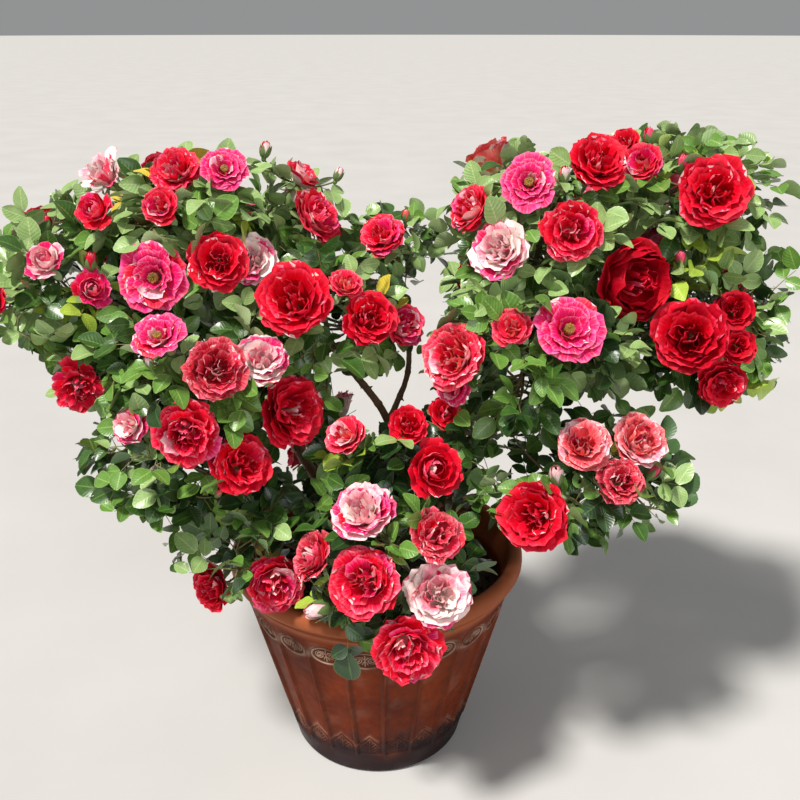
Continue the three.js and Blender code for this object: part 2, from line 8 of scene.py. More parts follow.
# %% Load the frame
import json
import math
from collections import defaultdict

import bpy
import numpy as np
from mathutils import Matrix, Vector, noise
from numpy.linalg import norm

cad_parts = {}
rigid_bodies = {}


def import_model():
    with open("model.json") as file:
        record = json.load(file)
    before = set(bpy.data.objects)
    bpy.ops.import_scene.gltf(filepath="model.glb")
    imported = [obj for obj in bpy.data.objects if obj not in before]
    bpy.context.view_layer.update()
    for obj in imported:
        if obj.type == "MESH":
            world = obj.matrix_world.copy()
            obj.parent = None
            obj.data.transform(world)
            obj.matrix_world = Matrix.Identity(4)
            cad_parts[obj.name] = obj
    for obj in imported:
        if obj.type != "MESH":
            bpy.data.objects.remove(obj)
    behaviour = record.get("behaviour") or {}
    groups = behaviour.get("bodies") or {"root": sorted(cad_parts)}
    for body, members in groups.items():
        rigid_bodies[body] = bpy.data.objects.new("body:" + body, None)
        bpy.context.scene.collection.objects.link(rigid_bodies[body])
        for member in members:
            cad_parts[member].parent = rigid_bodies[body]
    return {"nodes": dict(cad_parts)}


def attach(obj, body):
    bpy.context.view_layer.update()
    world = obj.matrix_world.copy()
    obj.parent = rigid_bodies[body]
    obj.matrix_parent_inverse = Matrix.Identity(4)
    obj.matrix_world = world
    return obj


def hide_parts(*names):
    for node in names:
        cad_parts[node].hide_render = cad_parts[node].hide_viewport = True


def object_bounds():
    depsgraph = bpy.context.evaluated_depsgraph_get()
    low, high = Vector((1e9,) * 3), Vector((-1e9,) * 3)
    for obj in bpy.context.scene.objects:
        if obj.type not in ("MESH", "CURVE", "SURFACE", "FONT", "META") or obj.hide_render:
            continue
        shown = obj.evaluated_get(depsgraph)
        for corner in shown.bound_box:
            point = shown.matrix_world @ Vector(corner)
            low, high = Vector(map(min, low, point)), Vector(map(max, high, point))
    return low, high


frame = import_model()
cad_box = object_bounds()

MM = 0.001
print("frame:", len(frame["nodes"]), "nodes, box", cad_box)

# %% [markdown]
# ## Working habits
# An operator acts on all that is selected, so each piece starts with nothing selected. A piece
# is finished the same way each time: its object sits at the origin, it gets its name and its
# materials, it rides on the body, and the frame's nodes that it stands for are hidden.

# %% Small helpers for every piece
def clear_selection():
    if bpy.context.object and bpy.context.object.mode != 'OBJECT':
        bpy.ops.object.mode_set(mode='OBJECT')
    bpy.ops.object.select_all(action='DESELECT')


def pick(*objects):
    """Selects these objects only, and makes the first one active."""
    clear_selection()
    for obj in objects:
        obj.select_set(True)
    bpy.context.view_layer.objects.active = objects[0]


def add_object(name, data):
    obj = bpy.data.objects.new(name, data)
    bpy.context.collection.objects.link(obj)
    return obj


def join(*objects):
    pick(*objects)
    bpy.ops.object.join()
    return bpy.context.object


def open_mesh():
    """Opens the active object for editing, with all of it selected."""
    bpy.ops.object.mode_set(mode='EDIT')
    bpy.ops.mesh.select_all(action='SELECT')


def settle(obj):
    """Closes the object and puts it at the origin, unturned, with its place in its mesh."""
    pick(obj)
    bpy.ops.object.transform_apply(location=True, rotation=True, scale=True)


def apply_modifiers(obj):
    pick(obj)
    for modifier in list(obj.modifiers):
        bpy.ops.object.modifier_apply(modifier=modifier.name)


def finish_piece(obj, name, slot, nodes, *materials):
    obj.name = obj.data.name = name
    for material in materials:
        obj.data.materials.append(material)
    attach(obj, "root")
    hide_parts(*nodes)
    print(f"{name}: {sum(len(p.vertices) - 2 for p in obj.data.polygons)} triangles")


# %% [markdown]
# What repeats a thousand times is quicker laid out as arrays of points and faces. A small shape
# is modelled, taken apart into its arrays, and many copies of them are made one mesh.

# %% Helpers between meshes and arrays
def coords_of(mesh):
    flat = np.empty(len(mesh.vertices) * 3)
    mesh.vertices.foreach_get("co", flat)
    return flat.reshape(-1, 3)


def set_coords(mesh, points):
    mesh.vertices.foreach_set("co", np.asarray(points, dtype=np.float32).ravel())
    mesh.update()


def take_apart(obj):
    """The points and faces of a small shape that will be laid out many times."""
    points, faces = coords_of(obj.data), [tuple(f.vertices) for f in obj.data.polygons]
    bpy.data.objects.remove(obj)
    return points, faces


def unit(vector):
    return vector / norm(vector)


def rows_to_unit(vectors):
    return vectors / norm(vectors, axis=1)[:, None]


def repeat_faces(faces, count, points_each):
    """The faces of many copies of one shape, whose points follow each other."""
    faces = np.asarray(faces)
    return (faces + np.arange(count)[:, None, None] * points_each).reshape(-1, faces.shape[1])


def mesh_from_arrays(name, points, faces, slots=None, maps=None, materials=()):
    """A mesh object from points, a list of arrays of faces, each face's material slot, and
    maps from a name to each corner's place on it."""
    mesh = bpy.data.meshes.new(name)
    corners = np.concatenate([f.ravel() for f in faces]).astype(np.int32)
    sizes = np.concatenate([np.full(len(f), f.shape[1]) for f in faces])
    mesh.vertices.add(len(points))
    mesh.vertices.foreach_set("co", points.astype(np.float32).ravel())
    mesh.loops.add(len(corners))
    mesh.loops.foreach_set("vertex_index", corners)
    mesh.polygons.add(len(sizes))
    mesh.polygons.foreach_set("loop_start", (np.cumsum(sizes) - sizes).astype(np.int32))
    mesh.polygons.foreach_set("use_smooth", np.ones(len(sizes), dtype=bool))
    if slots is not None:
        mesh.polygons.foreach_set("material_index", slots.astype(np.int32))
    for map_name, places in (maps or {}).items():
        layer = mesh.uv_layers.new(name=map_name)
        layer.uv.foreach_set("vector", places.astype(np.float32).ravel())
    for material in materials:
        mesh.materials.append(material)
    mesh.update(calc_edges=True)
    mesh.validate(clean_customdata=False)
    return add_object(name, mesh)

# %% [markdown]
# ## Camera
# The picture was taken from about a metre and a half in front of the pot, looking down at it
# by some 22 degrees. The same place and lens are used here, so that each piece can be compared
# with the photograph.

# %% Stand the camera
LENS, SENSOR = 42.75, 36.0
camera_data = bpy.data.cameras.new("camera")
camera_data.lens, camera_data.sensor_width, camera_data.clip_end = LENS, SENSOR, 200.0
camera = add_object("camera", camera_data)
camera.location = (0.0, -1.55, 1.3)
camera.rotation_euler = (math.radians(90 - 21.7), 0.0, math.radians(-1.6))
bpy.context.scene.camera = camera
CAMERA_PLACE = np.array(camera.location) * 1000
print("camera at", tuple(camera.location))

# %% [markdown]
# ## Materials from small steps
# A material is a chain of nodes: a place goes in, patterns and mixes follow, and a colour, a
# roughness and a bump come out. Each small step gets a short name here, so that a material
# further down reads like a recipe.

# %% Small helpers for materials
def feed(nt, socket, value):
    """Gives an input a socket to follow, a colour or a number."""
    if isinstance(value, bpy.types.NodeSocket):
        nt.links.new(value, socket)
    else:
        socket.default_value = (*value, 1.0) if isinstance(value, tuple) else value


def add_node(nt, kind, inputs, **settings):
    node = nt.nodes.new("ShaderNode" + kind)
    for name, value in settings.items():
        setattr(node, name, value)
    for key, value in inputs.items():
        feed(nt, node.inputs[key], value)
    return node


def use_math(nt, operation, a, b=0.0):
    return add_node(nt, "Math", {0: a, 1: b}, operation=operation).outputs[0]


def times(nt, a, b):
    return use_math(nt, 'MULTIPLY', a, b)


def use_mix(nt, factor, a, b, blend='MIX'):
    return add_node(nt, "Mix", {0: factor, 6: a, 7: b}, data_type='RGBA', blend_type=blend).outputs[2]


def use_range(nt, value, low, high, to_low=0.0, to_high=1.0, kind='SMOOTHSTEP'):
    return add_node(nt, "MapRange", {"Value": value, "From Min": low, "From Max": high, "To Min": to_low,
                                     "To Max": to_high}, interpolation_type=kind).outputs["Result"]


def use_noise(nt, vector, scale, detail, roughness=0.5):
    return add_node(nt, "TexNoise", {"Vector": vector, "Scale": scale, "Detail": detail,
                                     "Roughness": roughness}).outputs["Fac"]


def object_place(nt):
    return add_node(nt, "TexCoord", {}).outputs["Object"]


def map_place(nt, name):
    return add_node(nt, "UVMap", {}, uv_map=name).outputs["UV"]


def split(nt, vector):
    return add_node(nt, "SeparateXYZ", {0: vector}).outputs


def new_material(name):
    material = bpy.data.materials.new(name)
    material.use_nodes = True
    return material, material.node_tree


def set_finish(material, colour, roughness, bump=None, **inputs):
    """Leads colour and roughness to the shader; bump is a height, a strength and a distance."""
    nt = material.node_tree
    shader = nt.nodes["Principled BSDF"]
    for name, value in {"Base Color": colour, "Roughness": roughness, **inputs}.items():
        feed(nt, shader.inputs[name.replace("_", " ")], value)
    if bump:
        height, strength, distance = bump
        node = add_node(nt, "Bump", {"Height": height, "Strength": strength, "Distance": distance})
        nt.links.new(node.outputs["Normal"], shader.inputs["Normal"])


print("steps ready, from a number to a finish")

# %% [markdown]
# ## Floor and light
# A plain pale floor catches a soft shadow, so that the pot is seen to stand on something. The
# light comes from high on the left, as the sun stood, softened as in a studio. A weak lamp in
# front and a pale sky lighten the shade.

# %% Lay the floor and set the light
clear_selection()
bpy.ops.mesh.primitive_circle_add(vertices=96, radius=110.0, fill_type='NGON')
floor = bpy.context.object
floor.name = "floor"
pale, nt = new_material("pale_floor")
ramp = add_node(nt, "ValToRGB", {"Fac": use_noise(nt, object_place(nt), 2.0, 4.0)})
for stop, place, colour in zip(ramp.color_ramp.elements, (0.3, 0.7),
                               ((0.5, 0.49, 0.475, 1.0), (0.54, 0.53, 0.515, 1.0))):
    stop.position, stop.color = place, colour
set_finish(pale, ramp.outputs["Color"], 0.9)
floor.data.materials.append(pale)


def add_lamp(name, kind, place, aim, energy, colour, **settings):
    data = bpy.data.lights.new(name, kind)
    for key, value in dict(energy=energy, color=colour, **settings).items():
        setattr(data, key, value)
    lamp = add_object(name, data)
    lamp.location = place
    lamp.rotation_euler = Vector(aim).to_track_quat('-Z', 'Y').to_euler()


add_lamp("soft_sun", 'SUN', (0, 0, 0), (0.42, 0.42, -1.0), 4.5, (1.0, 0.97, 0.92),
         angle=math.radians(9))
add_lamp("front_lamp", 'AREA', (0.9, -2.6, 2.2), (-0.9, 2.6, -1.55), 22, (0.95, 0.97, 1.0),
         shape='DISK', size=1.8)
world = bpy.data.worlds.new("soft_sky")
world.use_nodes = True
sky = world.node_tree.nodes["Background"].inputs
sky["Color"].default_value, sky["Strength"].default_value = (0.9, 0.91, 0.92, 1.0), 0.32
bpy.context.scene.world = world
bpy.context.scene.view_settings.view_transform = "Standard"
print("floor, sun, lamp and sky")

# %% [markdown]
# ## A finish that several materials share
# Clay, bark and soil all vary in colour from place to place, and their surface is never quite
# even. One node group does both: it mixes two colours by a broad pattern, speckles them by a
# fine one, and gives the height that a Bump node needs. Each material sets its own values.

# %% Build the group "weathered"
def new_group(name, inputs, outputs):
    """A node group; inputs and outputs go from a socket's name to its kind."""
    group = bpy.data.node_groups.new(name, "ShaderNodeTree")
    for way, sockets in (('INPUT', inputs), ('OUTPUT', outputs)):
        for socket, kind in sockets.items():
            group.interface.new_socket(socket, in_out=way, socket_type="NodeSocket" + kind)
    given, result = group.nodes.new("NodeGroupInput"), group.nodes.new("NodeGroupOutput")
    return group, given.outputs, result.inputs


def use_group(nt, group, inputs):
    return add_node(nt, "Group", inputs, node_tree=group).outputs


def make_weathered():
    group, given, result = new_group(
        "weathered", {"Vector": "Vector", "Scale": "Float", "Colour": "Color",
                      "Second Colour": "Color", "Speckle": "Float"},
        {"Colour": "Color", "Height": "Float"})
    broad = use_noise(group, given["Vector"], given["Scale"], 5.0, 0.62)
    fine = use_noise(group, given["Vector"], times(group, given["Scale"], 7.3), 3.0)
    share = use_range(group, broad, 0.34, 0.66, kind='LINEAR')
    mixed = use_mix(group, share, given["Colour"], given["Second Colour"])
    grey = use_range(group, fine, 0.3, 0.7, 0.45, 1.25, kind='LINEAR')
    feed(group, result["Colour"], use_mix(group, given["Speckle"], mixed, grey, 'MULTIPLY'))
    feed(group, result["Height"], use_math(group, 'ADD', broad, fine))
    return group


WEATHERED = make_weathered()


def use_weathered(nt, vector, scale, first, second, speckle):
    return use_group(nt, WEATHERED, {"Vector": vector, "Scale": scale, "Colour": first,
                                     "Second Colour": second, "Speckle": speckle})


def weathered_finish(name, scale, first, second, speckle, roughness, strength, distance, on_map=None):
    """A material that is all from the group; roughness is one value, or a low and a high one."""
    material, nt = new_material(name)
    place = map_place(nt, on_map) if on_map else object_place(nt)
    skin = use_weathered(nt, place, scale, first, second, speckle)
    if isinstance(roughness, tuple):
        roughness = use_range(nt, skin["Height"], 0.7, 1.3, *roughness)
    set_finish(material, skin["Colour"], roughness, (skin["Height"], strength, distance))
    return material


print("group with", len(WEATHERED.nodes), "nodes")

# %% [markdown]
# ## The pot's outline
# The pot is pressed from clay: a straight flared wall, a plain foot, a smooth band under a fine
# ridge, and a thick lip that is rounded over. Seen from the side this is one outline, from the
# middle of the underside round the lip to the middle of the inner floor. Where the wall has its
# ornament the outline's points lie close together, elsewhere they are few.

# %% Work out the outline in millimetres
POT_HEIGHT = 400.0
BASE_RADIUS = 160.0
WALL_TOP_RADIUS = 264.0
PANELS = 22
PANEL_TURN = math.radians(-5.3)
PITCH = 2 * math.pi / PANELS


def wall_radius(z):
    return BASE_RADIUS + (WALL_TOP_RADIUS - BASE_RADIUS) * z / POT_HEIGHT


foot = [(0, 0), (70, 0), (130, 0), (153, 0), (157, 1.4), (159.6, 4)]
wall_heights = [*np.arange(8, 50, 8), *np.arange(51, 106, 2.2), *np.arange(110, 276, 9),
                *np.arange(282, 336, 1.9)]
wall = [(wall_radius(z), z) for z in wall_heights]
band = [(wall_radius(z) + rise, z) for z, rise in
        ((340, 0), (347, 0), (351, 0.3), (353, 2.2), (355, 3.2), (357, 3.2), (359, 2.2), (361, 0.4),
         (364, 0.6), (367, 3.0))]
lip = [(263, 369), (267.4, 372), (269.6, 376.5), (270, 382), (269.6, 388), (267.6, 393.5),
       (264, 397.6), (259.5, 399.7), (255, 400), (250.4, 398.8), (246.8, 396), (244.6, 391.6),
       (243.4, 385)]
inner = [(240, 370), (236, 352), (230.4, 330), (215, 270), (190, 172), (160, 60), (151.8, 27.5),
         (149, 26), (90, 26), (0, 26)]
outline = np.array([*foot, *wall, *band, *lip, *inner], dtype=float)
steps = np.gradient(outline, axis=0)
outward = rows_to_unit(np.stack([steps[:, 1], -steps[:, 0]], 1))
print("outline:", len(outline), "points")

# %% [markdown]
# ## The relief of one panel
# Each of the 22 panels is a shallow flute between two thin ribs. It ends in a round arch that
# holds an oval medallion, and at its foot stands a pointed arch. This much is low relief, so it
# can be said as one height for each place. The fine scrolls come later, as thin lines of clay.

# %% Say how high the relief is at a place
def smooth(low, high, value):
    t = np.clip((value - low) / (high - low), 0.0, 1.0)
    return t * t * (3 - 2 * t)


def ridge(distance, width):
    return np.exp(-(distance / width) ** 2)


MEDALLION_Z, MEDALLION_HALF = 307.0, (26.5, 18.5)
OGEE_FOOT, OGEE_RISE = 77.0, 25.0


def ogee_height(x, half):
    """The pointed arch: hollow towards its point, round at its shoulders."""
    s = np.clip(np.abs(x) / (half - 4), 0, 1)
    return OGEE_FOOT + OGEE_RISE * (0.55 * (1 - s) ** 2.2 + 0.45 * np.sqrt(1 - s ** 2))


def panel_relief(x, z, half):
    """Height in millimetres at x across from the panel's middle, z up, half a panel wide."""
    edge = half - np.abs(x)
    arch = 309 + 24 * np.sqrt(np.clip(1 - (x / (half - 3.5)) ** 2, 0, 1))
    inside = smooth(2.4, 4.4, edge) * smooth(0, 2.6, arch - z) * smooth(50, 54, z)
    height = -inside * (2.9 + 1.7 * (1 - (x / half) ** 2))
    height -= 1.1 * ridge(edge - 5.0, 1.3) * inside
    height += 1.9 * ridge(edge, 2.1) * smooth(50, 60, z) * (1 - smooth(309, 330, z))
    height += 1.5 * ridge(arch + 1.2 - z, 1.7) * smooth(0.5, 6, edge) * smooth(296, 306, z)
    oval = np.hypot(x / MEDALLION_HALF[0], (z - MEDALLION_Z) / MEDALLION_HALF[1])
    height += 1.6 * (1 - smooth(1.0, 1.14, oval)) - 1.0 * (1 - smooth(0.8, 0.95, oval))
    below = smooth(0, 5, ogee_height(x, half) - z) * smooth(3.5, 6, edge) * smooth(51, 55, z)
    return height + 1.2 * below


def panel_marks(x, z, half):
    """Where dust lies (1) on the ornament, and where shade is painted (1) in the hollows beside it."""
    edge = half - np.abs(x)
    on_wall = smooth(50, 58, z) * (1 - smooth(322, 334, z))
    oval = np.hypot(x / MEDALLION_HALF[0], (z - MEDALLION_Z) / MEDALLION_HALF[1])
    under = smooth(0, 6, ogee_height(x, half) - z) * smooth(50, 54, z)
    # Painted shade: inside the oval, under the pointed arch and in a thin line beside each rib.
    grime = np.maximum(1 - smooth(0.86, 1.0, oval), 0.62 * under)
    grime = np.maximum(grime, 0.85 * ridge(edge - 4.4, 1.5) * on_wall)
    dust = ridge((oval - 1.12) * 19, 3.5) + 0.8 * ridge(z - ogee_height(x, half) - 2, 3.5)
    return np.clip(dust, 0, 1), grime


print("relief in the medallion:", panel_relief(np.array([0.0]), np.array([MEDALLION_Z]), 34.0))

# %% [markdown]
# ## Press one panel and turn it round
# A potter presses a sheet of clay into a mould and bends it to the wall. The same is done here:
# a grid is the sheet, its relief is painted as weights, a Displace modifier raises it, and the
# sheet is laid along the outline. One panel is made, and 22 copies are turned round the middle
# and welded along their edges.

# %% Press the sheet and lay it on the outline
COLUMNS = 20
clear_selection()
bpy.ops.mesh.primitive_grid_add(
    x_subdivisions=COLUMNS, y_subdivisions=len(outline) - 1, size=1.0, location=(0, 0, 0))
sheet = bpy.context.object
places = coords_of(sheet.data)
column = np.rint((places[:, 0] + 0.5) * COLUMNS).astype(int)
row = np.rint((places[:, 1] + 0.5) * (len(outline) - 1)).astype(int)
middleness = 2 * column / COLUMNS - 1
across = middleness * (1.3 - 0.3 * middleness ** 2) * PITCH / 2
half = wall_radius(outline[row, 1]) * PITCH / 2
on_wall = (row >= len(foot)) & (row < len(foot) + len(wall))
x_mm = np.where(on_wall, across / (PITCH / 2) * half, 0.0)
relief = np.where(on_wall, panel_relief(x_mm, outline[row, 1], half), 0.0)
dust, grime = (np.where(on_wall, marks, 0.0) for marks in panel_marks(x_mm, outline[row, 1], half))
# How far to the left of its flute a point lies; the clay uses it to paint light across the hollow.
leftness = np.where(on_wall, 0.5 - 0.5 * x_mm / half, 0.3)

LOW, RANGE = -7.0, 14.0
weights = sheet.vertex_groups.new(name="relief")
for index, value in enumerate((relief - LOW) / RANGE):
    weights.add([index], float(value), 'REPLACE')
press = sheet.modifiers.new("press", 'DISPLACE')
press.vertex_group = "relief"
press.direction = 'Z'
press.mid_level = 0.0
press.strength = RANGE * MM
apply_modifiers(sheet)
raised = coords_of(sheet.data)[:, 2] / MM + LOW

r_and_z = outline[row] + outward[row] * raised[:, None]
theta = across - math.pi / 2 + PANEL_TURN
bent = np.stack([r_and_z[:, 0] * np.cos(theta), r_and_z[:, 0] * np.sin(theta), r_and_z[:, 1]], 1)
set_coords(sheet.data, bent * MM)
for name, values in (("dust", dust), ("grime", grime), ("leftness", leftness)):
    layer = sheet.data.attributes.new(name, 'FLOAT', 'POINT')
    layer.data.foreach_set("value", values.astype(np.float32))
print("relief from", raised.min().round(1), "to", raised.max().round(1), "mm")

# %% [markdown]
# The same few lines copy any piece of one panel round the pot, so the ornament uses them too.

# %% Copy it round and weld the edges
def copy_round(first):
    """Sets a copy of a panel's piece on each other panel and joins them all."""
    copies = []
    for k in range(1, PANELS):
        turned = first.copy()
        turned.data = first.data.copy()
        turned.data.transform(Matrix.Rotation(k * PITCH, 4, 'Z'))
        bpy.context.collection.objects.link(turned)
        copies.append(turned)
    joined = join(first, *copies)
    bpy.ops.object.shade_smooth()
    return joined


pot = copy_round(sheet)
open_mesh()
bpy.ops.mesh.remove_doubles(threshold=0.00005)
bpy.ops.mesh.normals_make_consistent(inside=False)
clear_selection()
pot.vertex_groups.clear()
print("pot welded:", len(pot.data.vertices), "points")

# %% [markdown]
# ## Scrolls, arches and leaf veins
# The fine ornament is drawn as lines on one panel: two scrolls inside an oval rim, the pointed
# arch with a thinner one under it, and the veins of a leaf below. Each line becomes a thin
# strand of clay that lies half sunk in the wall, and the set is copied round the pot.

# %% Draw the ornament of one panel
def spiral(side):
    """One scroll of the medallion: it starts beside the middle and winds outwards."""
    t = np.linspace(0, 1, 34)
    angle = math.pi * 0.5 + side * t * 2.2 * 2 * math.pi
    far = 1.2 + (10.2 - 1.2) * t
    return np.stack([side * 11.8 + far * np.cos(angle), MEDALLION_Z + 0.92 * far * np.sin(angle)], 1)


round_turn = np.linspace(0, 2 * math.pi, 37)
half_low = wall_radius(80) * PITCH / 2
arch_x = np.linspace(-1, 1, 25) * (half_low - 4)
arch_line = np.stack([arch_x, ogee_height(arch_x, half_low)], 1)
rim_line = np.stack([MEDALLION_HALF[0] * np.cos(round_turn),
                     MEDALLION_Z + MEDALLION_HALF[1] * np.sin(round_turn)], 1)
drawn = [(rim_line, 1.7), (spiral(1), 1.2), (spiral(-1), 1.2), ([(0, 293), (0, 307), (0, 321)], 1.2)]
for start_z, end_z in ((297, 305), (317, 309)):
    for side in (-1, 1):
        drawn.append(([(side * 5, start_z), (side * 3, (302 if start_z == 297 else 312)), (0, end_z)], 0.9))
drawn += [(arch_line, 1.5), (arch_line * (0.8, 1) - (0, 7.5), 1.0), ([(0, 54), (0, 70), (0, 92)], 1.3)]
for foot_z, wide in ((55, 13), (62, 13), (69, 11), (77, 7)):
    for side in (-1, 1):
        drawn.append(([(0, foot_z), (side * wide * 0.55, foot_z + 4), (side * wide, foot_z + 11)], 0.85))
print("strands on a panel:", len(drawn))

# %% [markdown]
# A strand, a twig and a stamen are all the same thing to draw: rings of points set round a line
# and joined by faces. Many of them are joined as arrays, before there is a mesh.

# %% Sweep rings along a line
def sweep(line, first, second, radius, sides):
    """Rings of points round a line, between two cross directions, and the quads between them."""
    angle = np.arange(sides) / sides * 2 * math.pi
    ring = np.cos(angle)[None, :, None] * first[:, None] + np.sin(angle)[None, :, None] * second[:, None]
    i, j = np.meshgrid(np.arange(len(line) - 1), np.arange(sides), indexing="ij")
    a, b = i * sides + j, i * sides + (j + 1) % sides
    return ((line[:, None] + ring * radius).reshape(-1, 3),
            np.stack([a, b, b + sides, a + sides], -1).reshape(-1, 4))


def join_arrays(parts):
    """Joins parts, each of points, quads, triangles and slots, into one set of arrays."""
    shifts = np.cumsum([0, *(len(part[0]) for part in parts[:-1])])
    faces = [np.concatenate([part[kind] + shift for part, shift in zip(parts, shifts)])
             for kind in (1, 2)]
    slots = [np.resize(part[3], len(part[kind])) for kind in (1, 2) for part in parts]
    return np.concatenate([part[0] for part in parts]), faces, np.concatenate(slots)


NO_TRIANGLES = np.zeros((0, 3), dtype=int)
print("rings of five points:", len(sweep(np.eye(3), np.eye(3), np.eye(3), 1.0, 5)[0]), "points")

# %% [markdown]
# Each line of the panel is lifted onto the wall, a quarter of its strand above the relief, and
# the finished set is copied round the pot.

# %% Lay the strands on the wall and copy them round
def strand(flat, radius):
    """A thin strand of clay along a line that is drawn on the panel."""
    x, z = np.array(flat, dtype=float).T
    half = wall_radius(z) * PITCH / 2
    slope = (WALL_TOP_RADIUS - BASE_RADIUS) / POT_HEIGHT
    r = wall_radius(z) + panel_relief(x, z, half) + 0.25 * radius
    theta = x / half * (PITCH / 2) - math.pi / 2 + PANEL_TURN
    line = np.stack([r * np.cos(theta), r * np.sin(theta), z - panel_relief(x, z, half) * slope], 1)
    out = np.stack([np.cos(theta), np.sin(theta), np.full(len(theta), -slope)], 1)
    aside = rows_to_unit(np.cross(rows_to_unit(np.gradient(line, axis=0)), out))
    return (*sweep(line, out, aside, radius, 5), NO_TRIANGLES, 0)


points, faces, _ = join_arrays([strand(flat, radius) for flat, radius in drawn])
ornament = copy_round(mesh_from_arrays("ornament", points * MM, faces))
print("ornament:", len(ornament.data.polygons), "faces")

# %% [markdown]
# ## Fired clay that has stood outside
# The clay is a warm orange brown. Lime and dust have left a greyish bloom in patches, and lie pale
# on the ornament's raised lines. The bloom is made strongest on the left of each flute, which paints
# the light falling across the hollow. A painted shade darkens the clay beside the ribs and in the
# hollows, and the clay is made near black towards the foot. Height above the ground and values that
# are kept on the mesh tell the material where each belongs.

# %% Mix the clay's material
def clay_material(name, lines):
    """The pot's clay. The strands of the ornament (lines) have no values of their own."""
    clay, nt = new_material(name)
    place = object_place(nt)
    height = split(nt, place)["Z"]
    warm = use_weathered(nt, place, 9.0, (0.2, 0.03, 0.005), (0.112, 0.016, 0.004), 0.4)
    spots = use_noise(nt, place, 22.0, 6.0)
    colour = warm["Colour"]
    if lines:
        pale = times(nt, use_range(nt, spots, 0.36, 0.6, 0.15, 0.85),
                     use_range(nt, height, 0.1, 0.28, 0.35, 1.0))
        colour = use_mix(nt, pale, colour, (0.42, 0.285, 0.21))
    else:
        leftness, dust, grime = (add_node(nt, "Attribute", {}, attribute_name=kept).outputs["Fac"]
                                 for kept in ("leftness", "dust", "grime"))
        colour = use_mix(nt, use_range(nt, height, 0.335, 0.352), colour, (0.33, 0.09, 0.034))
        # Greyish bloom in patches, made strongest on the left of each flute: partly lime bloom, partly
        # painted light across the hollow.
        bloom_and_side_light = times(nt, use_range(nt, spots, 0.46, 0.68, 0.0, 0.36),
                      use_range(nt, leftness, 0.1, 1.0, 0.2, 1.0))
        colour = use_mix(nt, bloom_and_side_light, colour, (0.25, 0.125, 0.09))
        dusty = times(nt, times(nt, dust, use_range(nt, spots, 0.36, 0.58, 0.2, 0.75)),
                      use_range(nt, height, 0.1, 0.28, 0.5, 1.0))
        colour = use_mix(nt, dusty, colour, (0.4, 0.265, 0.195))
        # Painted shade darkens the clay in the hollows and beside the ribs.
        recess_shade_share = times(nt, grime, use_range(nt, spots, 0.34, 0.62, 0.95, 0.62))
        colour = use_mix(nt, recess_shade_share, colour, (0.07, 0.03, 0.018))
    # The clay is made near black towards the foot, along a ragged line.
    ragged = use_math(nt, 'ADD', height, use_range(nt, spots, 0.3, 0.7, -0.026, 0.026))
    darker_foot = use_range(nt, ragged, 0.04, 0.12, 0.95, 0.0)
    colour = use_mix(nt, darker_foot, colour, (0.024, 0.016, 0.018))
    set_finish(clay, colour, use_range(nt, spots, 0.3, 0.7, 0.36, 0.66),
               (warm["Height"], 0.45, 0.0016), Specular_IOR_Level=0.08)
    return clay


finish_piece(pot, "clay_pot", "fired_clay", ["pot"], clay_material("fired_clay", False))
finish_piece(ornament, "pot_ornament", "fired_clay", ["pot"], clay_material("clay_lines", True))

# %% [markdown]
# ## Soil
# Potting soil is dark, loose and crumbly. A disc is drawn up into the plug that fills the pot,
# its top is divided finely and heaved up and down by a noise, and small clods lie on it.

# %% Fill the pot
SOIL_TOP, SOIL_RADIUS = 0.328, 0.2285
PLUG_FOOT, PLUG_RADIUS, PLUG_TOP_RADIUS = 0.0275, 0.15, 0.2288


def rumple(x, y, z):
    """A noise of heights about nought, with crumbs some 3 cm across."""
    return noise.fractal(Vector((x, y, z)) * 34.0, 0.9, 2.0, 4)


clear_selection()
bpy.ops.mesh.primitive_circle_add(
    vertices=64, radius=PLUG_RADIUS, fill_type='TRIFAN', location=(0, 0, PLUG_FOOT))
soil = bpy.context.object
open_mesh()
bpy.ops.mesh.extrude_region_move(TRANSFORM_OT_translate={"value": (0, 0, SOIL_TOP - PLUG_FOOT)})
bpy.ops.transform.resize(value=(PLUG_TOP_RADIUS / PLUG_RADIUS, PLUG_TOP_RADIUS / PLUG_RADIUS, 1.0))
bpy.ops.mesh.subdivide(number_cuts=9)
bpy.ops.mesh.select_all(action='SELECT')
bpy.ops.mesh.normals_make_consistent(inside=False)
settle(soil)
points = coords_of(soil.data)
for p in points:
    if p[2] > SOIL_TOP - 0.001:
        middle = 1 - min(1.0, math.hypot(p[0], p[1]) / SOIL_RADIUS)
        fade = smooth(0.0, 0.08, middle)
        p[2] += 0.009 * smooth(0, 0.6, middle) - 0.003 + 0.006 * fade * rumple(*p)
set_coords(soil.data, points)
bpy.ops.object.shade_smooth()
print("soil:", len(points), "points")

# %% [markdown]
# The clods are one small rough lump, an icosphere that is squeezed a little differently each
# time, laid down some hundreds of times and joined with the soil.

# %% Strew clods and join them
CLODS = 420
random = np.random.default_rng(41)
clear_selection()
bpy.ops.mesh.primitive_ico_sphere_add(subdivisions=2, radius=1.0)
lump_points, lump_faces = take_apart(bpy.context.object)
lump_points *= (1 + 0.22 * random.standard_normal((len(lump_points), 1))).clip(0.6, 1.4)
far = 0.216 * np.sqrt(random.random(CLODS))
turn = random.random(CLODS) * 2 * math.pi
size = 0.0016 + 0.0052 * random.random(CLODS) ** 2.2
middles = np.stack([far * np.cos(turn), far * np.sin(turn), np.zeros(CLODS)], 1)
middles[:, 2] = [0.9 * s + SOIL_TOP - 0.003 + 0.009 * smooth(0, 0.6, 1 - f / SOIL_RADIUS)
                 + 0.004 * rumple(m[0], m[1], SOIL_TOP) for m, f, s in zip(middles, far, size)]
squeeze = 0.65 + 0.6 * random.random((CLODS, 1, 3))
points = middles[:, None] + lump_points * squeeze * size[:, None, None]
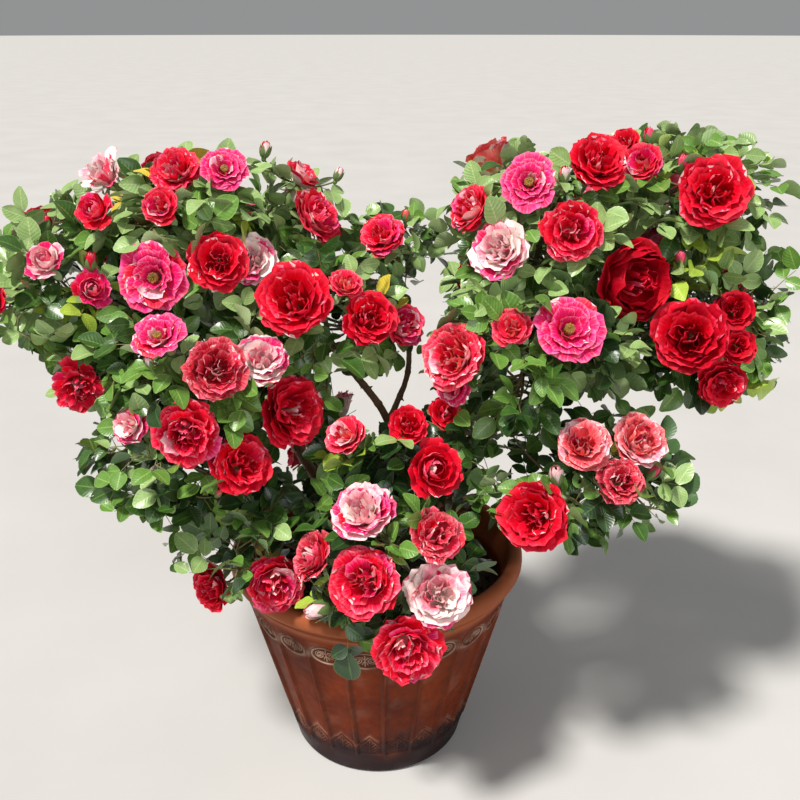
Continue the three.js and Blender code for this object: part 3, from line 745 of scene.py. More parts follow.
clods = mesh_from_arrays("clods", points.reshape(-1, 3),
                         [repeat_faces(lump_faces, CLODS, len(lump_points))])
finish_piece(join(soil, clods), "soil_and_clods", "potting_soil", ["soil"],
             weathered_finish("potting_soil", 70.0, (0.03, 0.02, 0.014), (0.085, 0.055, 0.036), 0.8,
                              (0.85, 1.0), 0.9, 0.003))

# %% [markdown]
# ## The knuckle
# Garden roses are grafted low down, and all canes spring from that swollen knuckle. A ball is
# flattened, cut off level with the soil, and made knobbly by two Displace modifiers, one for
# the lumps and one for the flaking bark.

# %% Make the knuckle
def heave(obj, name, size, strength):
    """Heaves the surface up and down by clouds of this size."""
    cloud = bpy.data.textures.new(name, 'CLOUDS')
    cloud.noise_scale = size
    modifier = obj.modifiers.new(name, 'DISPLACE')
    modifier.texture, modifier.texture_coords = cloud, 'LOCAL'
    modifier.mid_level, modifier.strength = 0.5, strength


clear_selection()
bpy.ops.mesh.primitive_uv_sphere_add(segments=64, ring_count=40, radius=0.045, location=(0, 0, 0.343))
knuckle = bpy.context.object
open_mesh()
bpy.ops.mesh.bisect(plane_co=(0, 0, 0.327), plane_no=(0, 0, 1), use_fill=True, clear_inner=True)
settle(knuckle)
heave(knuckle, "lumps", 0.03, 0.014)
heave(knuckle, "flakes", 0.006, 0.0022)
apply_modifiers(knuckle)
bpy.ops.object.shade_smooth()
finish_piece(knuckle, "knuckle_of_the_bush", "old_wood", ["stem_knuckle"],
             weathered_finish("old_bark", 46.0, (0.115, 0.078, 0.05), (0.3, 0.25, 0.19), 0.7,
                              0.88, 0.7, 0.002))

# %% [markdown]
# ## Smooth lines
# Canes, stems and twigs all follow smooth lines through a few points. The same kind of line is
# used as in the part's source, a centripetal Catmull-Rom curve walked by its length, so that
# what is grown here starts where the frame's solids end.

# %% A smooth line through points
class SmoothLine:
    def __init__(self, points):
        self.points = [np.asarray(p, dtype=float) for p in points]
        fine = np.array([self.point(t) for t in np.linspace(0, 1, 201)])
        self.lengths = np.concatenate([[0], np.cumsum(norm(np.diff(fine, axis=0), axis=1))])

    def point(self, t):
        pts, last = self.points, len(self.points) - 1
        if last == 1:
            return pts[0] + (pts[1] - pts[0]) * t
        k = min(int(t * last), last - 1)
        w = t * last - k
        p1, p2 = pts[k], pts[k + 1]
        p0 = pts[k - 1] if k > 0 else 2 * pts[0] - pts[1]
        p3 = pts[k + 2] if k + 2 <= last else 2 * pts[last] - pts[last - 1]
        d0, d1, d2 = (max(norm(b - a), 1e-8) ** 0.5 for a, b in ((p0, p1), (p1, p2), (p2, p3)))
        t1 = ((p1 - p0) / d0 - (p2 - p0) / (d0 + d1) + (p2 - p1) / d1) * d1
        t2 = ((p2 - p1) / d1 - (p3 - p1) / (d1 + d2) + (p3 - p2) / d2) * d1
        return (p1 + t1 * w + (3 * (p2 - p1) - 2 * t1 - t2) * w ** 2
                + (2 * (p1 - p2) + t1 + t2) * w ** 3)

    def at(self, share):
        return self.point(float(np.interp(share * self.lengths[-1], self.lengths, np.linspace(0, 1, 201))))

    def way(self, share):
        return unit(self.at(min(1.0, share + 0.004)) - self.at(max(0.0, share - 0.004)))

    def steps(self, count):
        return np.array([self.at(share) for share in np.linspace(0, 1, count)])


print("a quarter of the way:", SmoothLine([(0, 0, 0), (0, 0, 10), (5, 0, 20)]).at(0.25))

# %% [markdown]
# ## Canes and boughs
# Eleven canes rise from the knuckle and six boughs fork from them. Each is listed with its
# thickness at foot and tip, the mass of foliage that it carries and the points that it passes,
# in millimetres, and a bough with its cane and how far up it forks. The frame has the same.

# %% List the limbs
JOINT_EVERY, JOINT_WIDTH = 47, 3.2
LIMBS = {
    "cane_left": (11, 6, "left_top", [(-12, 4, 360), (-95, 12, 500), (-190, 22, 690), (-225, 22, 860)]),
    "cane_inner": (9.5, 5.5, "left_inner", [(4, 6, 372), (34, 14, 500), (22, 4, 640), (-62, -26, 778)]),
    "cane_left_front": (10, 5.5, "left_middle",
                        [(-14, -8, 356), (-110, -52, 470), (-196, -92, 590), (-232, -112, 690)]),
    "cane_low_left": (8, 5, "low_left", [(-12, -14, 350), (-60, -72, 404), (-112, -118, 450)]),
    "cane_low_front": (8, 5, "low_front", [(2, -16, 352), (8, -92, 404), (14, -158, 462)]),
    "cane_middle": (8.5, 5, "middle", [(4, -6, 366), (14, -42, 470), (26, -76, 580)]),
    "cane_right": (12, 6, "right_top", [(14, 4, 360), (108, 8, 520), (196, 2, 710), (256, -10, 900)]),
    "cane_right_front": (10, 5.5, "right_middle",
                         [(14, -8, 354), (92, -50, 480), (172, -88, 620), (214, -108, 712)]),
    "cane_back_left": (10, 5.5, "back_left", [(-8, 12, 358), (-100, 108, 500), (-216, 178, 662)]),
    "cane_back_right": (10, 5.5, "back_right", [(10, 12, 358), (120, 108, 510), (242, 180, 676)]),
    "cane_back_low": (7.5, 5, "back_low", [(0, 16, 350), (8, 76, 402), (14, 132, 448)]),
    "bough_outer_left": (7.5, 5, "left_outer", [(-290, 16, 716), (-392, 8, 822)], "cane_left", 0.62),
    "bough_low_left": (6.5, 4.5, "left_low", [(-212, -104, 566), (-262, -126, 600)],
                       "cane_left_front", 0.5),
    "bough_bridge": (5.5, 4, "bridge", [(58, 6, 740), (46, 18, 872)], "cane_inner", 0.62),
    "bough_crown_right": (8, 5, "right_crown", [(300, 12, 830), (398, 22, 960)], "cane_right", 0.66),
    "bough_outer_right": (8, 5, "right_outer", [(270, 2, 680), (420, -14, 782)], "cane_right", 0.42),
    "bough_low_right": (6.5, 4.5, "right_low", [(186, -88, 540), (236, -120, 578)],
                        "cane_right_front", 0.45),
}


def limb_line(name):
    """The line of a limb; a bough's starts on the cane that it forks from."""
    path, *fork = LIMBS[name][3:]
    return SmoothLine([limb_line(fork[0]).at(fork[1]), *path] if fork else path)


LINES = {name: limb_line(name) for name in LIMBS}
ROOTS = {LIMBS[name][2]: (line.at(1.0), line.way(1.0)) for name, line in LINES.items()}
print("limbs:", {name: round(float(line.lengths[-1])) for name, line in LINES.items()})

# %% [markdown]
# ## Bark on the canes
# A cane is a tapering tube with a joint every few centimetres, where a leaf once grew, and the
# bark between is ribbed lengthwise. Each cane is drawn as a curve with its own thickness at
# each point, made a mesh, and wrinkled by a Displace modifier.

# %% Draw each cane and wrinkle its bark
def draw_limb(name):
    line = LINES[name]
    thick, thin = LIMBS[name][:2]
    count = int(line.lengths[-1] / 3.5)
    curve = bpy.data.curves.new(name, 'CURVE')
    curve.dimensions = '3D'
    curve.bevel_depth = MM
    curve.bevel_resolution = 3
    curve.use_fill_caps = True
    spline = curve.splines.new('POLY')
    spline.points.add(count)
    for k, point in enumerate(spline.points):
        share = k / count
        from_joint = (share * line.lengths[-1] + 13 * len(name)) % JOINT_EVERY - JOINT_EVERY // 2
        swelling = 1 + 0.16 * math.exp(-(from_joint / JOINT_WIDTH) ** 2)
        point.co = (*line.at(share) * MM, 1.0)
        point.radius = (thick + (thin - thick) * share) * swelling
    pick(add_object(name, curve))
    bpy.ops.object.convert(target='MESH')
    heave(bpy.context.object, "wrinkle", 0.007, 0.002)
    apply_modifiers(bpy.context.object)
    return bpy.context.object


canes = [draw_limb(name) for name in LIMBS]
print("canes drawn:", len(canes))

# %% [markdown]
# ## Prickles
# Rose prickles are broad at the foot and hooked downwards. One is modelled from a cone that is
# squeezed and bent, and its shape is set along the canes and the thicker twigs at random turns.

# %% Model one prickle
clear_selection()
bpy.ops.mesh.primitive_cone_add(vertices=6, radius1=1.0, radius2=0.12, depth=2.4, location=(0, 0, 1.2))
open_mesh()
bpy.ops.transform.resize(value=(0.55, 1.25, 1.0))
settle(bpy.context.object)
thorn_points, rims = take_apart(bpy.context.object)
thorn_points[:, 1] -= 0.16 * thorn_points[:, 2] ** 2
thorn_faces = np.array([(rim[i + 1], rim[i], rim[0]) for rim in rims for i in range(1, len(rim) - 1)])


def set_thorns(spots):
    """Prickles from (foot, the wood's way, way outwards, size), hooked against the wood's way."""
    places, ways, outs, sizes = (np.array(values) for values in zip(*spots))
    side = rows_to_unit(np.cross(outs, ways))
    axes = np.stack([side, np.cross(side, outs), outs], 1) * sizes[:, None, None]
    points = places[:, None] + np.einsum("vk,nkc->nvc", thorn_points, axes)
    return points.reshape(-1, 3), repeat_faces(thorn_faces, len(spots), len(thorn_points))


print("prickle:", len(thorn_faces), "faces")

# %% [markdown]
# They stand a couple of centimetres apart, each turned its own way round the cane, with its
# foot a little sunk in the bark. The canes are brown red below and greener towards the light.

# %% Set prickles on the canes and join all
spots = []
for name, line in LINES.items():
    thick, thin = LIMBS[name][:2]
    for along in np.arange(30, line.lengths[-1] - 10, 21):
        share = float(along + random.uniform(-7, 7)) / line.lengths[-1]
        way = line.way(share)
        out = unit(np.cross(way, random.standard_normal(3)))
        radius = thick + (thin - thick) * share
        spots.append((line.at(share) + out * radius * 0.86, way, out, random.uniform(1.8, 2.9)))
points, faces = set_thorns(spots)

cane_bark, nt = new_material("cane_bark")
place = object_place(nt)
skin = use_weathered(nt, place, 60.0, (0.26, 0.11, 0.062), (0.135, 0.085, 0.045), 0.55)
greener = use_range(nt, split(nt, place)["Z"], 0.6, 0.95, 0.0, 0.4)
set_finish(cane_bark, use_mix(nt, greener, skin["Colour"], (0.135, 0.15, 0.045)),
           use_range(nt, skin["Height"], 0.7, 1.3, 0.58, 0.85), (skin["Height"], 0.6, 0.0012))
canes = join(*canes, mesh_from_arrays("cane_prickles", points * MM, [faces]))
bpy.ops.object.shade_smooth()
finish_piece(canes, "canes_and_boughs", "cane_bark", list(LIMBS), cane_bark)

# %% [markdown]
# ## The crown's shares
# The foliage is seventeen masses. Each has a middle and half sizes, and each keeps to its own
# share of the crown: a place belongs to the mass whose ball it lies deepest in. The same rule
# and the same numbers made the frame's solids.

# %% List the masses
MASSES = {
    "left_top": ((-260, 20, 985), (210, 180, 120), 6),
    "left_outer": ((-500, 0, 880), (140, 160, 160), 7),
    "left_middle": ((-285, -120, 790), (165, 160, 140), 5),
    "left_inner": ((-80, -60, 850), (125, 145, 145), 5),
    "left_low": ((-320, -150, 660), (145, 140, 95), 7),
    "low_left": ((-180, -160, 505), (150, 130, 90), 6),
    "low_front": ((20, -235, 520), (150, 125, 140), 4),
    "middle": ((30, -110, 655), (135, 120, 100), 5),
    "right_low": ((315, -170, 625), (185, 140, 105), 7),
    "right_middle": ((245, -130, 820), (165, 150, 135), 6),
    "right_top": ((280, -20, 1005), (165, 165, 125), 5),
    "right_crown": ((500, 30, 1040), (185, 170, 100), 7),
    "right_outer": ((550, -30, 850), (150, 160, 150), 7),
    "bridge": ((40, 30, 950), (85, 95, 75), 5),
    "back_left": ((-320, 230, 810), (220, 160, 190), 10),
    "back_right": ((360, 230, 830), (230, 160, 200), 10),
    "back_low": ((20, 215, 495), (200, 120, 95), 7),
}
NAMES = list(MASSES)
MIDDLES, HALVES = (np.array([mass[i] for mass in MASSES.values()], dtype=float) for i in (0, 1))
WEIGHTS = HALVES.mean(axis=1) ** 2
SOIL_CROWN, RIM_RADIUS, MOUTH_RADIUS = 334.0, 270.0, 244.0
GOLDEN_ANGLE = math.pi * (3 - math.sqrt(5))


def depth_in_share(k, p):
    """How deep each point of p lies inside mass k's own share, in millimetres."""
    p = np.atleast_2d(p)
    power = ((p[:, None] - MIDDLES) ** 2).sum(2) - WEIGHTS
    apart = 2 * norm(MIDDLES - MIDDLES[k], axis=1)
    apart[k] = 1.0
    depth = (power - power[:, k:k + 1]) / apart
    depth[:, k] = np.inf
    return depth.min(axis=1)


def spread(k, p):
    """How far points lie from mass k's middle: 1 is at the surface of its oval."""
    return norm((np.atleast_2d(p) - MIDDLES[k]) / HALVES[k], axis=1)


def nearest_mass(p):
    return min(range(len(NAMES)), key=lambda k: spread(k, p)[0])


def on_ball(height, turn):
    ring = math.sqrt(1 - height * height)
    return np.array([ring * math.cos(turn), ring * math.sin(turn), height])


def clear_of_pot(p, radius):
    p = np.atleast_2d(p)
    across = np.hypot(p[:, 0], p[:, 1])
    above = p[:, 2] - radius > POT_HEIGHT + 2
    outside = across - radius > BASE_RADIUS + (RIM_RADIUS - BASE_RADIUS) * p[:, 2] / POT_HEIGHT + 3
    within = (across + radius < MOUTH_RADIUS - 6) & (p[:, 2] - radius > SOIL_CROWN + 2)
    return above | outside | within


print("masses:", len(NAMES))

# %% [markdown]
# ## Where the roses sit
# Each rose of the front is listed with its width, its place and its colour, then its style,
# and its form where it isn't full. They opened on different days, so some are deep red, some
# have faded to coral, and a few lie open, flat and pink. The far side's are dealt out by rule.
# A rose looks outwards and a little up, and most of the front ones turn to the open side.

# %% List the roses of the front
FRONT_ROSES = [
    (78, -430, 0, 1074, "cream spiky"), (62, -426, -84, 1034, "bright spiral"),
    (80, -300, -70, 1090, "bright"), (76, -226, -72, 1092, "pink open"),
    (62, -112, -10, 1072, "bright side"), (96, -88, -72, 1018, "bright side"),
    (76, 14, -52, 984, "bright side"), (60, -316, -120, 1044, "bright"),
    (66, -500, -118, 964, "blush spiral"), (62, -430, -128, 922, "pink spiral"),
    (64, -600, -96, 892, "bright"), (108, -330, -150, 944, "pink open"),
    (84, -312, -236, 880, "pink side open"), (92, -232, -150, 968, "red side"),
    (84, -186, -128, 964, "cream"), (118, -118, -186, 918, "red"), (56, -42, -166, 936, "coral side"),
    (88, -8, -176, 884, "red"), (76, 46, -106, 852, "bright"), (84, -471, -124, 762, "bright spiky"),
    (96, -230, -250, 832, "dusty"), (84, -168, -214, 834, "cream"), (116, -130, -178, 738, "red"),
    (58, -366, -240, 742, "blush"), (104, -280, -252, 734, "bright"), (98, -204, -240, 676, "red"),
    (70, -46, -196, 702, "coral side"), (84, -272, -190, 428, "red"), (98, -166, -228, 458, "bright"),
    (84, -96, -282, 540, "dusty side"), (98, -20, -296, 622, "blush"), (114, -18, -340, 530, "bright"),
    (50, -90, -324, 470, "cream bud"), (92, 92, -214, 652, "red spiral"), (112, 238, -290, 608, "red"),
    (86, 88, -300, 584, "dusty"), (104, 92, -334, 500, "cream"), (112, 44, -350, 416, "bright"),
    (88, 314, -250, 706, "faded"), (92, 406, -226, 700, "faded"), (74, 366, -280, 660, "dusty"),
    (104, 118, -216, 838, "coral"), (62, 122, -180, 776, "pink"), (92, 230, -136, 1080, "pink open"),
    (80, 150, -106, 1036, "bright side"), (94, 190, -158, 984, "cream"), (92, 290, -178, 1016, "bright"),
    (92, 338, -104, 1104, "red"), (54, 398, -10, 1120, "red"), (66, 414, -72, 1098, "bright"),
    (108, 510, -130, 1064, "red"), (122, 398, -136, 930, "deep round"), (118, 480, -182, 856, "deep"),
    (66, 552, -160, 888, "deep"), (60, 560, -170, 834, "deep"), (84, 546, -160, 770, "red side"),
    (62, 200, -234, 886, "coral"), (106, 282, -240, 886, "pink open"), (64, 50, -190, 716, "red"),
    (60, 112, -150, 718, "red"),
]
BACK_ROSES = {"left_top": 3, "left_outer": 2, "right_top": 2, "right_crown": 3, "right_outer": 2,
              "back_left": 6, "back_right": 7, "back_low": 3}
BACK_COLOURS = ["red", "bright", "coral", "deep", "pink", "red", "blush", "bright"]
SEAT_DEPTH = {"full": 0.52, "open": 0.4, "bud": 1.0}


def add_rose(form, width, at, colour, style, middle):
    """Notes a rose; its face looks outwards, and those in front turn towards the open side."""
    face = unit(unit(at - middle) + (0, 0, 0.45))
    seat = at - face * SEAT_DEPTH[form] * width / 2
    mass = int(np.argmax([depth_in_share(k, seat)[0] for k in range(len(NAMES))]))
    if at[1] < 40 and style != "side" and form != "bud":
        face = unit(face + 0.85 * unit(CAMERA_PLACE - at))
        if colour in ("cream", "blush"):
            face = unit(face + (-0.25, -0.1, 0.3))
    ROSES.append(dict(form=form, radius=width / 2, at=at, face=face, seat=seat, colour=colour,
                      base=at - face * SEAT_DEPTH[form] * width / 2, style=style, mass=mass))


ROSES = []
for width, *at, words in FRONT_ROSES:
    at = np.array(at, dtype=float)
    colour, *more = words.split()
    form = more.pop() if more and more[-1] in SEAT_DEPTH else "full"
    add_rose(form, width, at, colour, "".join(more), MIDDLES[nearest_mass(at)])
for name, count in BACK_ROSES.items():
    k = NAMES.index(name)
    for i in range(count):
        turn = math.pi / 2 + ((i * 0.618 + 0.2) % 1 - 0.5) * 2.3
        rise = ((i * 0.382 + 0.35) % 1 - 0.28) * 1.5
        way = np.array([math.cos(turn) * math.cos(rise), math.sin(turn) * math.cos(rise), math.sin(rise)])
        at = way * HALVES[k] * 0.97 + MIDDLES[k]
        width = 96 * (0.86 + 0.28 * ((i * 0.55) % 1))
        if all(norm(r["at"] - at) >= (r["radius"] + width / 2) * 1.04 for r in ROSES):
            colour = BACK_COLOURS[len(ROSES) % len(BACK_COLOURS)]
            add_rose("full", width, at, colour, "", MIDDLES[k])
ROSE_AT, ROSE_RADIUS, ROSE_MASS = (np.array([r[key] for r in ROSES]) for key in ("at", "radius", "mass"))
print("roses:", len(ROSES))

# %% [markdown]
# ## Stem and twigs of each mass
# This is the source's rule again. A stem runs on from the limb's tip through the middle of the
# mass, stalks leave it for each rose, and twigs leave it in even directions all round. A twig
# that would leave the mass's share, touch the pot or pass through a rose is tried shorter and
# then left out. The same stream of numbers decides, so the same twigs grow.

# %% Grow stems, stalks and twigs
class Numbers:
    """The stream of numbers from 0 to 1 that the part's source uses."""
    def __init__(self, seed):
        self.state = seed

    def next(self):
        self.state = (self.state * 1664525 + 1013904223) & 0xFFFFFFFF
        return self.state / 4294967296


beads, bead_radius = [], []
for name, line in LINES.items():
    shares = np.linspace(0, 1, math.ceil(line.lengths[-1] / 8) + 1)
    beads += [line.at(share) for share in shares]
    bead_radius += list(np.interp(shares, (0, 1), LIMBS[name][:2]))
beads, bead_radius = np.array(beads), np.array(bead_radius)
TWIG_RADIUS, TWIG_ROOM, ROOT_ROOM = 2.3, 1.2, 14


def twig_fits(k, start, end):
    if min(depth_in_share(k, np.array([start, end]))) < TWIG_RADIUS + TWIG_ROOM:
        return False
    count = max(2, math.ceil(norm(end - start) / 10))
    p = start + (end - start) * np.linspace(0, 1, count + 1)[:, None]
    if not clear_of_pot(p, TWIG_RADIUS).all():
        return False
    others = ROSE_MASS != k
    p = p[norm(p - ROOTS[NAMES[k]][0], axis=1) >= ROOT_ROOM]
    if (norm(p[:, None] - beads, axis=2) < bead_radius + 2.5 + TWIG_RADIUS).any():
        return False
    gaps = norm(p[:, None] - ROSE_AT[others], axis=2)
    return not (gaps < ROSE_RADIUS[others] + TWIG_ROOM + TWIG_RADIUS).any()


def stem_line(k):
    root, way = ROOTS[NAMES[k]]
    onward = unit(MIDDLES[k] - root)
    reach = norm(MIDDLES[k] - root)
    return SmoothLine([root, root + way * reach * 0.4, MIDDLES[k],
                       MIDDLES[k] + onward * HALVES[k] * 0.45])


def share_forks(stem, ends):
    """Deals places along the stem to the ends, in the order in which the ends lie along it."""
    samples = stem.steps(21)
    near = [int(np.argmin(norm(samples - end, axis=1))) for end in ends]
    forks = [None] * len(ends)
    for rank, k in enumerate(sorted(range(len(ends)), key=lambda k: (near[k], k))):
        forks[k] = stem.at(0.2 + 0.79 * rank / max(1, len(ends) - 1))
    return forks


branches = []


def add_branch(kind, k, line, thick, thin, parent=-1, joint=0):
    branches.append(dict(kind=kind, mass=k, line=line, thick=thick, thin=thin, parent=parent,
                         joint=joint))


for k, name in enumerate(NAMES):
    numbers = Numbers(11 + k)
    stem = stem_line(k)
    own = [r for r in ROSES if r["mass"] == k]
    count = MASSES[name][2]
    ends = [on_ball(1 - (2 * i + 1) / count, i * GOLDEN_ANGLE + 11 + k) * HALVES[k] + MIDDLES[k]
            for i in range(count)]
    forks = share_forks(stem, [*[r["seat"] for r in own], *ends])
    add_branch("stem", k, stem.steps(16), 5.6, 3.2)
    for rose, fork in zip(own, forks):
        base = rose["base"]
        bend = base - rose["face"] * 0.45 * norm(base - fork)
        stalk = SmoothLine([fork, fork * 0.55 + bend * 0.45, (bend + base) / 2, base])
        add_branch("stalk", k, stalk.steps(9), 2.6, 1.9)
    for end, fork in zip(ends, forks[len(own):]):
        wander = 0.72 + 0.18 * numbers.next()
        for reach in (wander, wander * 0.8, wander * 0.6):
            tip = (end - MIDDLES[k]) * reach + MIDDLES[k]
            line = fork + (tip - fork) * np.linspace(0, 1, 9)[:, None]
            if any((norm(line - r["at"], axis=1) <= r["radius"] * 0.9).any() for r in own):
                continue
            if not twig_fits(k, fork, tip):
                continue
            sag = np.sin(np.linspace(0, math.pi, 9))[:, None] * np.array([0, 0, -0.05])
            add_branch("twig", k, line + sag * norm(tip - fork), 2.5, 1.5)
            break
print("stems, stalks and twigs:", len(branches))

# %% [markdown]
# ## Where the crown is open
# From the front the photo shows through the crown in a few places: between the two lobes,
# beside the brown cane that crosses the gap, and beside the crown's outer corners. These
# openings are kept free of leaves. Each is an oval in the picture, said by its middle and half
# sizes in the picture's own pixels.

# %% List the openings
OPENINGS = [((392, 396), (46, 25)), ((432, 292), (13, 34)), ((352, 402), (16, 30)),
            ((372, 424), (14, 18)), ((335, 370), (8, 16)), ((590, 404), (30, 10)), ((448, 180), (10, 30)),
            ((12, 380), (44, 38)), ((806, 380), (30, 60))]
PICTURE = 800
turn_to_camera = np.array(camera.rotation_euler.to_matrix())


def in_picture(points):
    """Where points, in millimetres, lie in the photograph, in pixels from its top left corner."""
    seen = (np.atleast_2d(points) - CAMERA_PLACE) @ turn_to_camera
    return PICTURE / 2 + LENS / SENSOR * PICTURE * seen[:, :2] * (1, -1) / -seen[:, 2:]


def in_opening(points):
    places = in_picture(points)
    return np.any([norm((places - middle) / half, axis=1) < 1 for middle, half in OPENINGS],
                  axis=0)


print("the lip's front lies at", in_picture([(0, -RIM_RADIUS, 388)])[0].round())

# %% [markdown]
# ## Finer twigs
# A mass is filled the way a real one is: young shoots grow from the twigs towards the light.
# Places are dealt out over the mass's share, the inner ones first, and each gets a shoot from
# the nearest wood, so later shoots can grow on from earlier ones.

# %% Grow the shoots
shoot_random = np.random.default_rng(7)
NEAREST, FARTHEST = 26, 190


def wood_of(k):
    """All points of mass k's wood that a shoot can grow from, and whose points they are."""
    points, refs = [], []
    for number, branch in enumerate(branches):
        if branch["mass"] == k:
            first = 2 if branch["kind"] in ("stem", "shoot") else 1
            points += list(branch["line"][first:])
            refs += [(number, i) for i in range(first, len(branch["line"]))]
    return np.array(points), refs


for k in range(len(NAMES)):
    wood, refs = wood_of(k)
    count = int(34 * (HALVES[k].prod() / 150.0 ** 3) ** 0.8) + 8
    ways = rows_to_unit(shoot_random.standard_normal((count * 3, 3)))
    deep = 0.4 + 0.54 * shoot_random.random(count * 3) ** 0.55
    targets = MIDDLES[k] + ways * HALVES[k] * deep[:, None]
    inside = (depth_in_share(k, targets) > 4) & clear_of_pot(targets, 18) & ~in_opening(targets)
    targets, deep = targets[inside][:count], deep[inside][:count]
    for target in targets[np.argsort(deep)]:
        gaps = norm(wood - target, axis=1)
        near = int(np.argmin(np.where(gaps > NEAREST, gaps, 1e9)))
        start, reach = wood[near], gaps[near]
        if not NEAREST <= reach <= FARTHEST:
            continue
        aside = np.cross(unit(target - start), shoot_random.standard_normal(3)) * reach * 0.1
        middle = (start + target) / 2 + aside + np.array([0, 0, -0.06 * reach])
        line = SmoothLine([start, middle, target]).steps(6)
        through_a_rose = norm(line[1:, None] - ROSE_AT, axis=2) < ROSE_RADIUS * 0.85
        if through_a_rose.any() or not clear_of_pot(line, 6).all():
            continue
        parent, joint = refs[near]
        refs += [(len(branches), i) for i in range(2, 6)]
        add_branch("shoot", k, line, 1.9, 1.0, parent, joint)
        wood = np.concatenate([wood, line[2:]])
k = NAMES.index("low_front")
wood, refs = wood_of(k)
over_lip = np.array([(-52.0, -262.0, 446.0), (-49.0, -288.0, 420.0), (-47.0, -299.0, 400.0)])
near = int(np.argmin(norm(wood - over_lip[0], axis=1)))
HANGING = len(branches)
add_branch("shoot", k, SmoothLine([wood[near], *over_lip]).steps(6), 1.9, 1.2, *refs[near])
print("branches with shoots:", len(branches))

# %% [markdown]
# ## Smaller roses at the sides and the back
# The far side flowers as the near one does. Smaller roses are dealt over the outer masses in
# the golden angle, clear of those that are there, each on a stalk from the nearest wood.

# %% Add the smaller roses
def add_flower(form, at, radius, face, k, colour, reach, thick, thin, style=""):
    """A flower that the frame doesn't have, on a stalk that starts about reach from it."""
    base = at - face * SEAT_DEPTH[form] * radius
    wood, refs = wood_of(k)
    near = int(np.argmin(np.abs(norm(wood - base, axis=1) - reach)))
    line = SmoothLine([wood[near], (wood[near] + base) / 2 - face * 8, base])
    add_branch("bud stalk", k, line.steps(6), thick, thin, *refs[near])
    ROSES.append(dict(form=form, radius=radius, at=at, face=face, mass=k, colour=colour, style=style))


SIDE_COLOURS = ["red", "bright", "coral", "pink", "cream", "bright", "red", "blush", "deep", "dusty"]
SIDE_MASSES = {"back_left": 9, "back_right": 9, "left_outer": 6, "right_outer": 6, "left_top": 5,
               "right_crown": 6, "right_top": 4, "back_low": 4, "left_low": 3, "right_low": 3}
for name, count in SIDE_MASSES.items():
    k = NAMES.index(name)
    for i in range(count):
        at = MIDDLES[k] + on_ball(0.92 - 1.35 * (i + 0.5) / count, i * GOLDEN_ANGLE + 1.7 * k) \
            * HALVES[k] * 0.95
        radius = 27 + 13 * ((i * 0.618 + 0.3 * k) % 1)
        gaps = [norm(r["at"] - at) - r["radius"] for r in ROSES]
        if at[1] >= 30 and min(gaps) >= radius * 1.2 and depth_in_share(k, at)[0] >= radius * 0.5:
            add_flower("full", at, radius, unit(unit(at - MIDDLES[k]) + (0, 0, 0.35)), k,
                       SIDE_COLOURS[len(ROSES) % len(SIDE_COLOURS)], 60, 2.0, 1.6,
                       "spiral" if i % 4 == 0 else "")
print("roses with the smaller ones:", len(ROSES))

# %% [markdown]
# ## Buds
# Between the open roses stand buds, still wrapped in their sepals. They are too small for the
# frame, so each gets a stalk here from the nearest wood. A line gives width, place and colour.

# %% Place the buds
BUDS = [
    (30, -170, 0, 1112, "coral"), (26, -56, 20, 1070, "green"), (34, -430, -118, 962, "red"),
    (24, -328, -240, 842, "coral"), (22, -242, -244, 630, "coral"), (38, 428, -240, 656, "pink"),
    (42, 270, -274, 668, "blush"), (34, 446, 20, 1128, "red"), (36, 470, -92, 1100, "bright"),
    (30, 280, -142, 1092, "coral"), (24, 52, -30, 1012, "green"), (34, 480, -100, 954, "pink"),
    (26, -540, 40, 990, "red"), (24, 610, 60, 1060, "green"), (28, 330, 300, 980, "red"),
    (26, -300, 330, 960, "coral"), (24, -480, 180, 960, "green"), (28, 560, 200, 960, "coral"),
]
for width, *at, colour in BUDS:
    at = np.array(at, dtype=float)
    k = nearest_mass(at)
    add_flower("bud", at, width / 2, unit(unit(at - MIDDLES[k]) * 0.6 + (0, 0, 0.9)), k, colour, 45,
               1.7, 1.4)
print("flowers with buds:", len(ROSES))

# %% [markdown]
# ## One leaflet
# A rose leaf is made of three to seven leaflets on one stalk. A leaflet is egg-shaped, folded a
# little along its midrib, and its tip bends down. It is modelled once as a narrow grid whose
# rows are drawn in to the outline, and then laid out many thousands of times.

# %% Model one leaflet
clear_selection()
bpy.ops.mesh.primitive_grid_add(x_subdivisions=2, y_subdivisions=6, size=1.0)
open_mesh()
bpy.ops.transform.translate(value=(0, 0.5, 0))
settle(bpy.context.object)
leaf_flat, leaf_quads = take_apart(bpy.context.object)
leaf_quads = np.array(leaf_quads)
leaf_t = leaf_flat[:, 1].clip(0, 1)
leaf_side = np.sign(leaf_flat[:, 0].round(3))
leaf_x = leaf_side * np.sin(math.pi * (0.03 + 0.935 * leaf_t) ** 0.84) ** 0.74 * 0.375
leaf_y = leaf_t ** 0.94
leaf_map = np.stack([leaf_side * 0.5 + 0.5, leaf_t], 1)
print("leaflet:", len(leaf_quads), "faces")

# %% [markdown]
# ## Leaves along the shoots
# Leaves follow each other round a shoot in the golden angle, a couple of fingers' widths apart.
# Each turns its upper side to the light and leans outwards.

# %% Deal out the leaves
leaf_random = np.random.default_rng(19)
BARE = {"stem": 0.35, "stalk": 0.25, "bud stalk": 0.25, "twig": 0.3, "shoot": 0.16}
LEAF_STEP = 20.0


def along_line(line, lengths, far):
    return np.array([np.interp(far, lengths, line[:, axis]) for axis in range(3)])


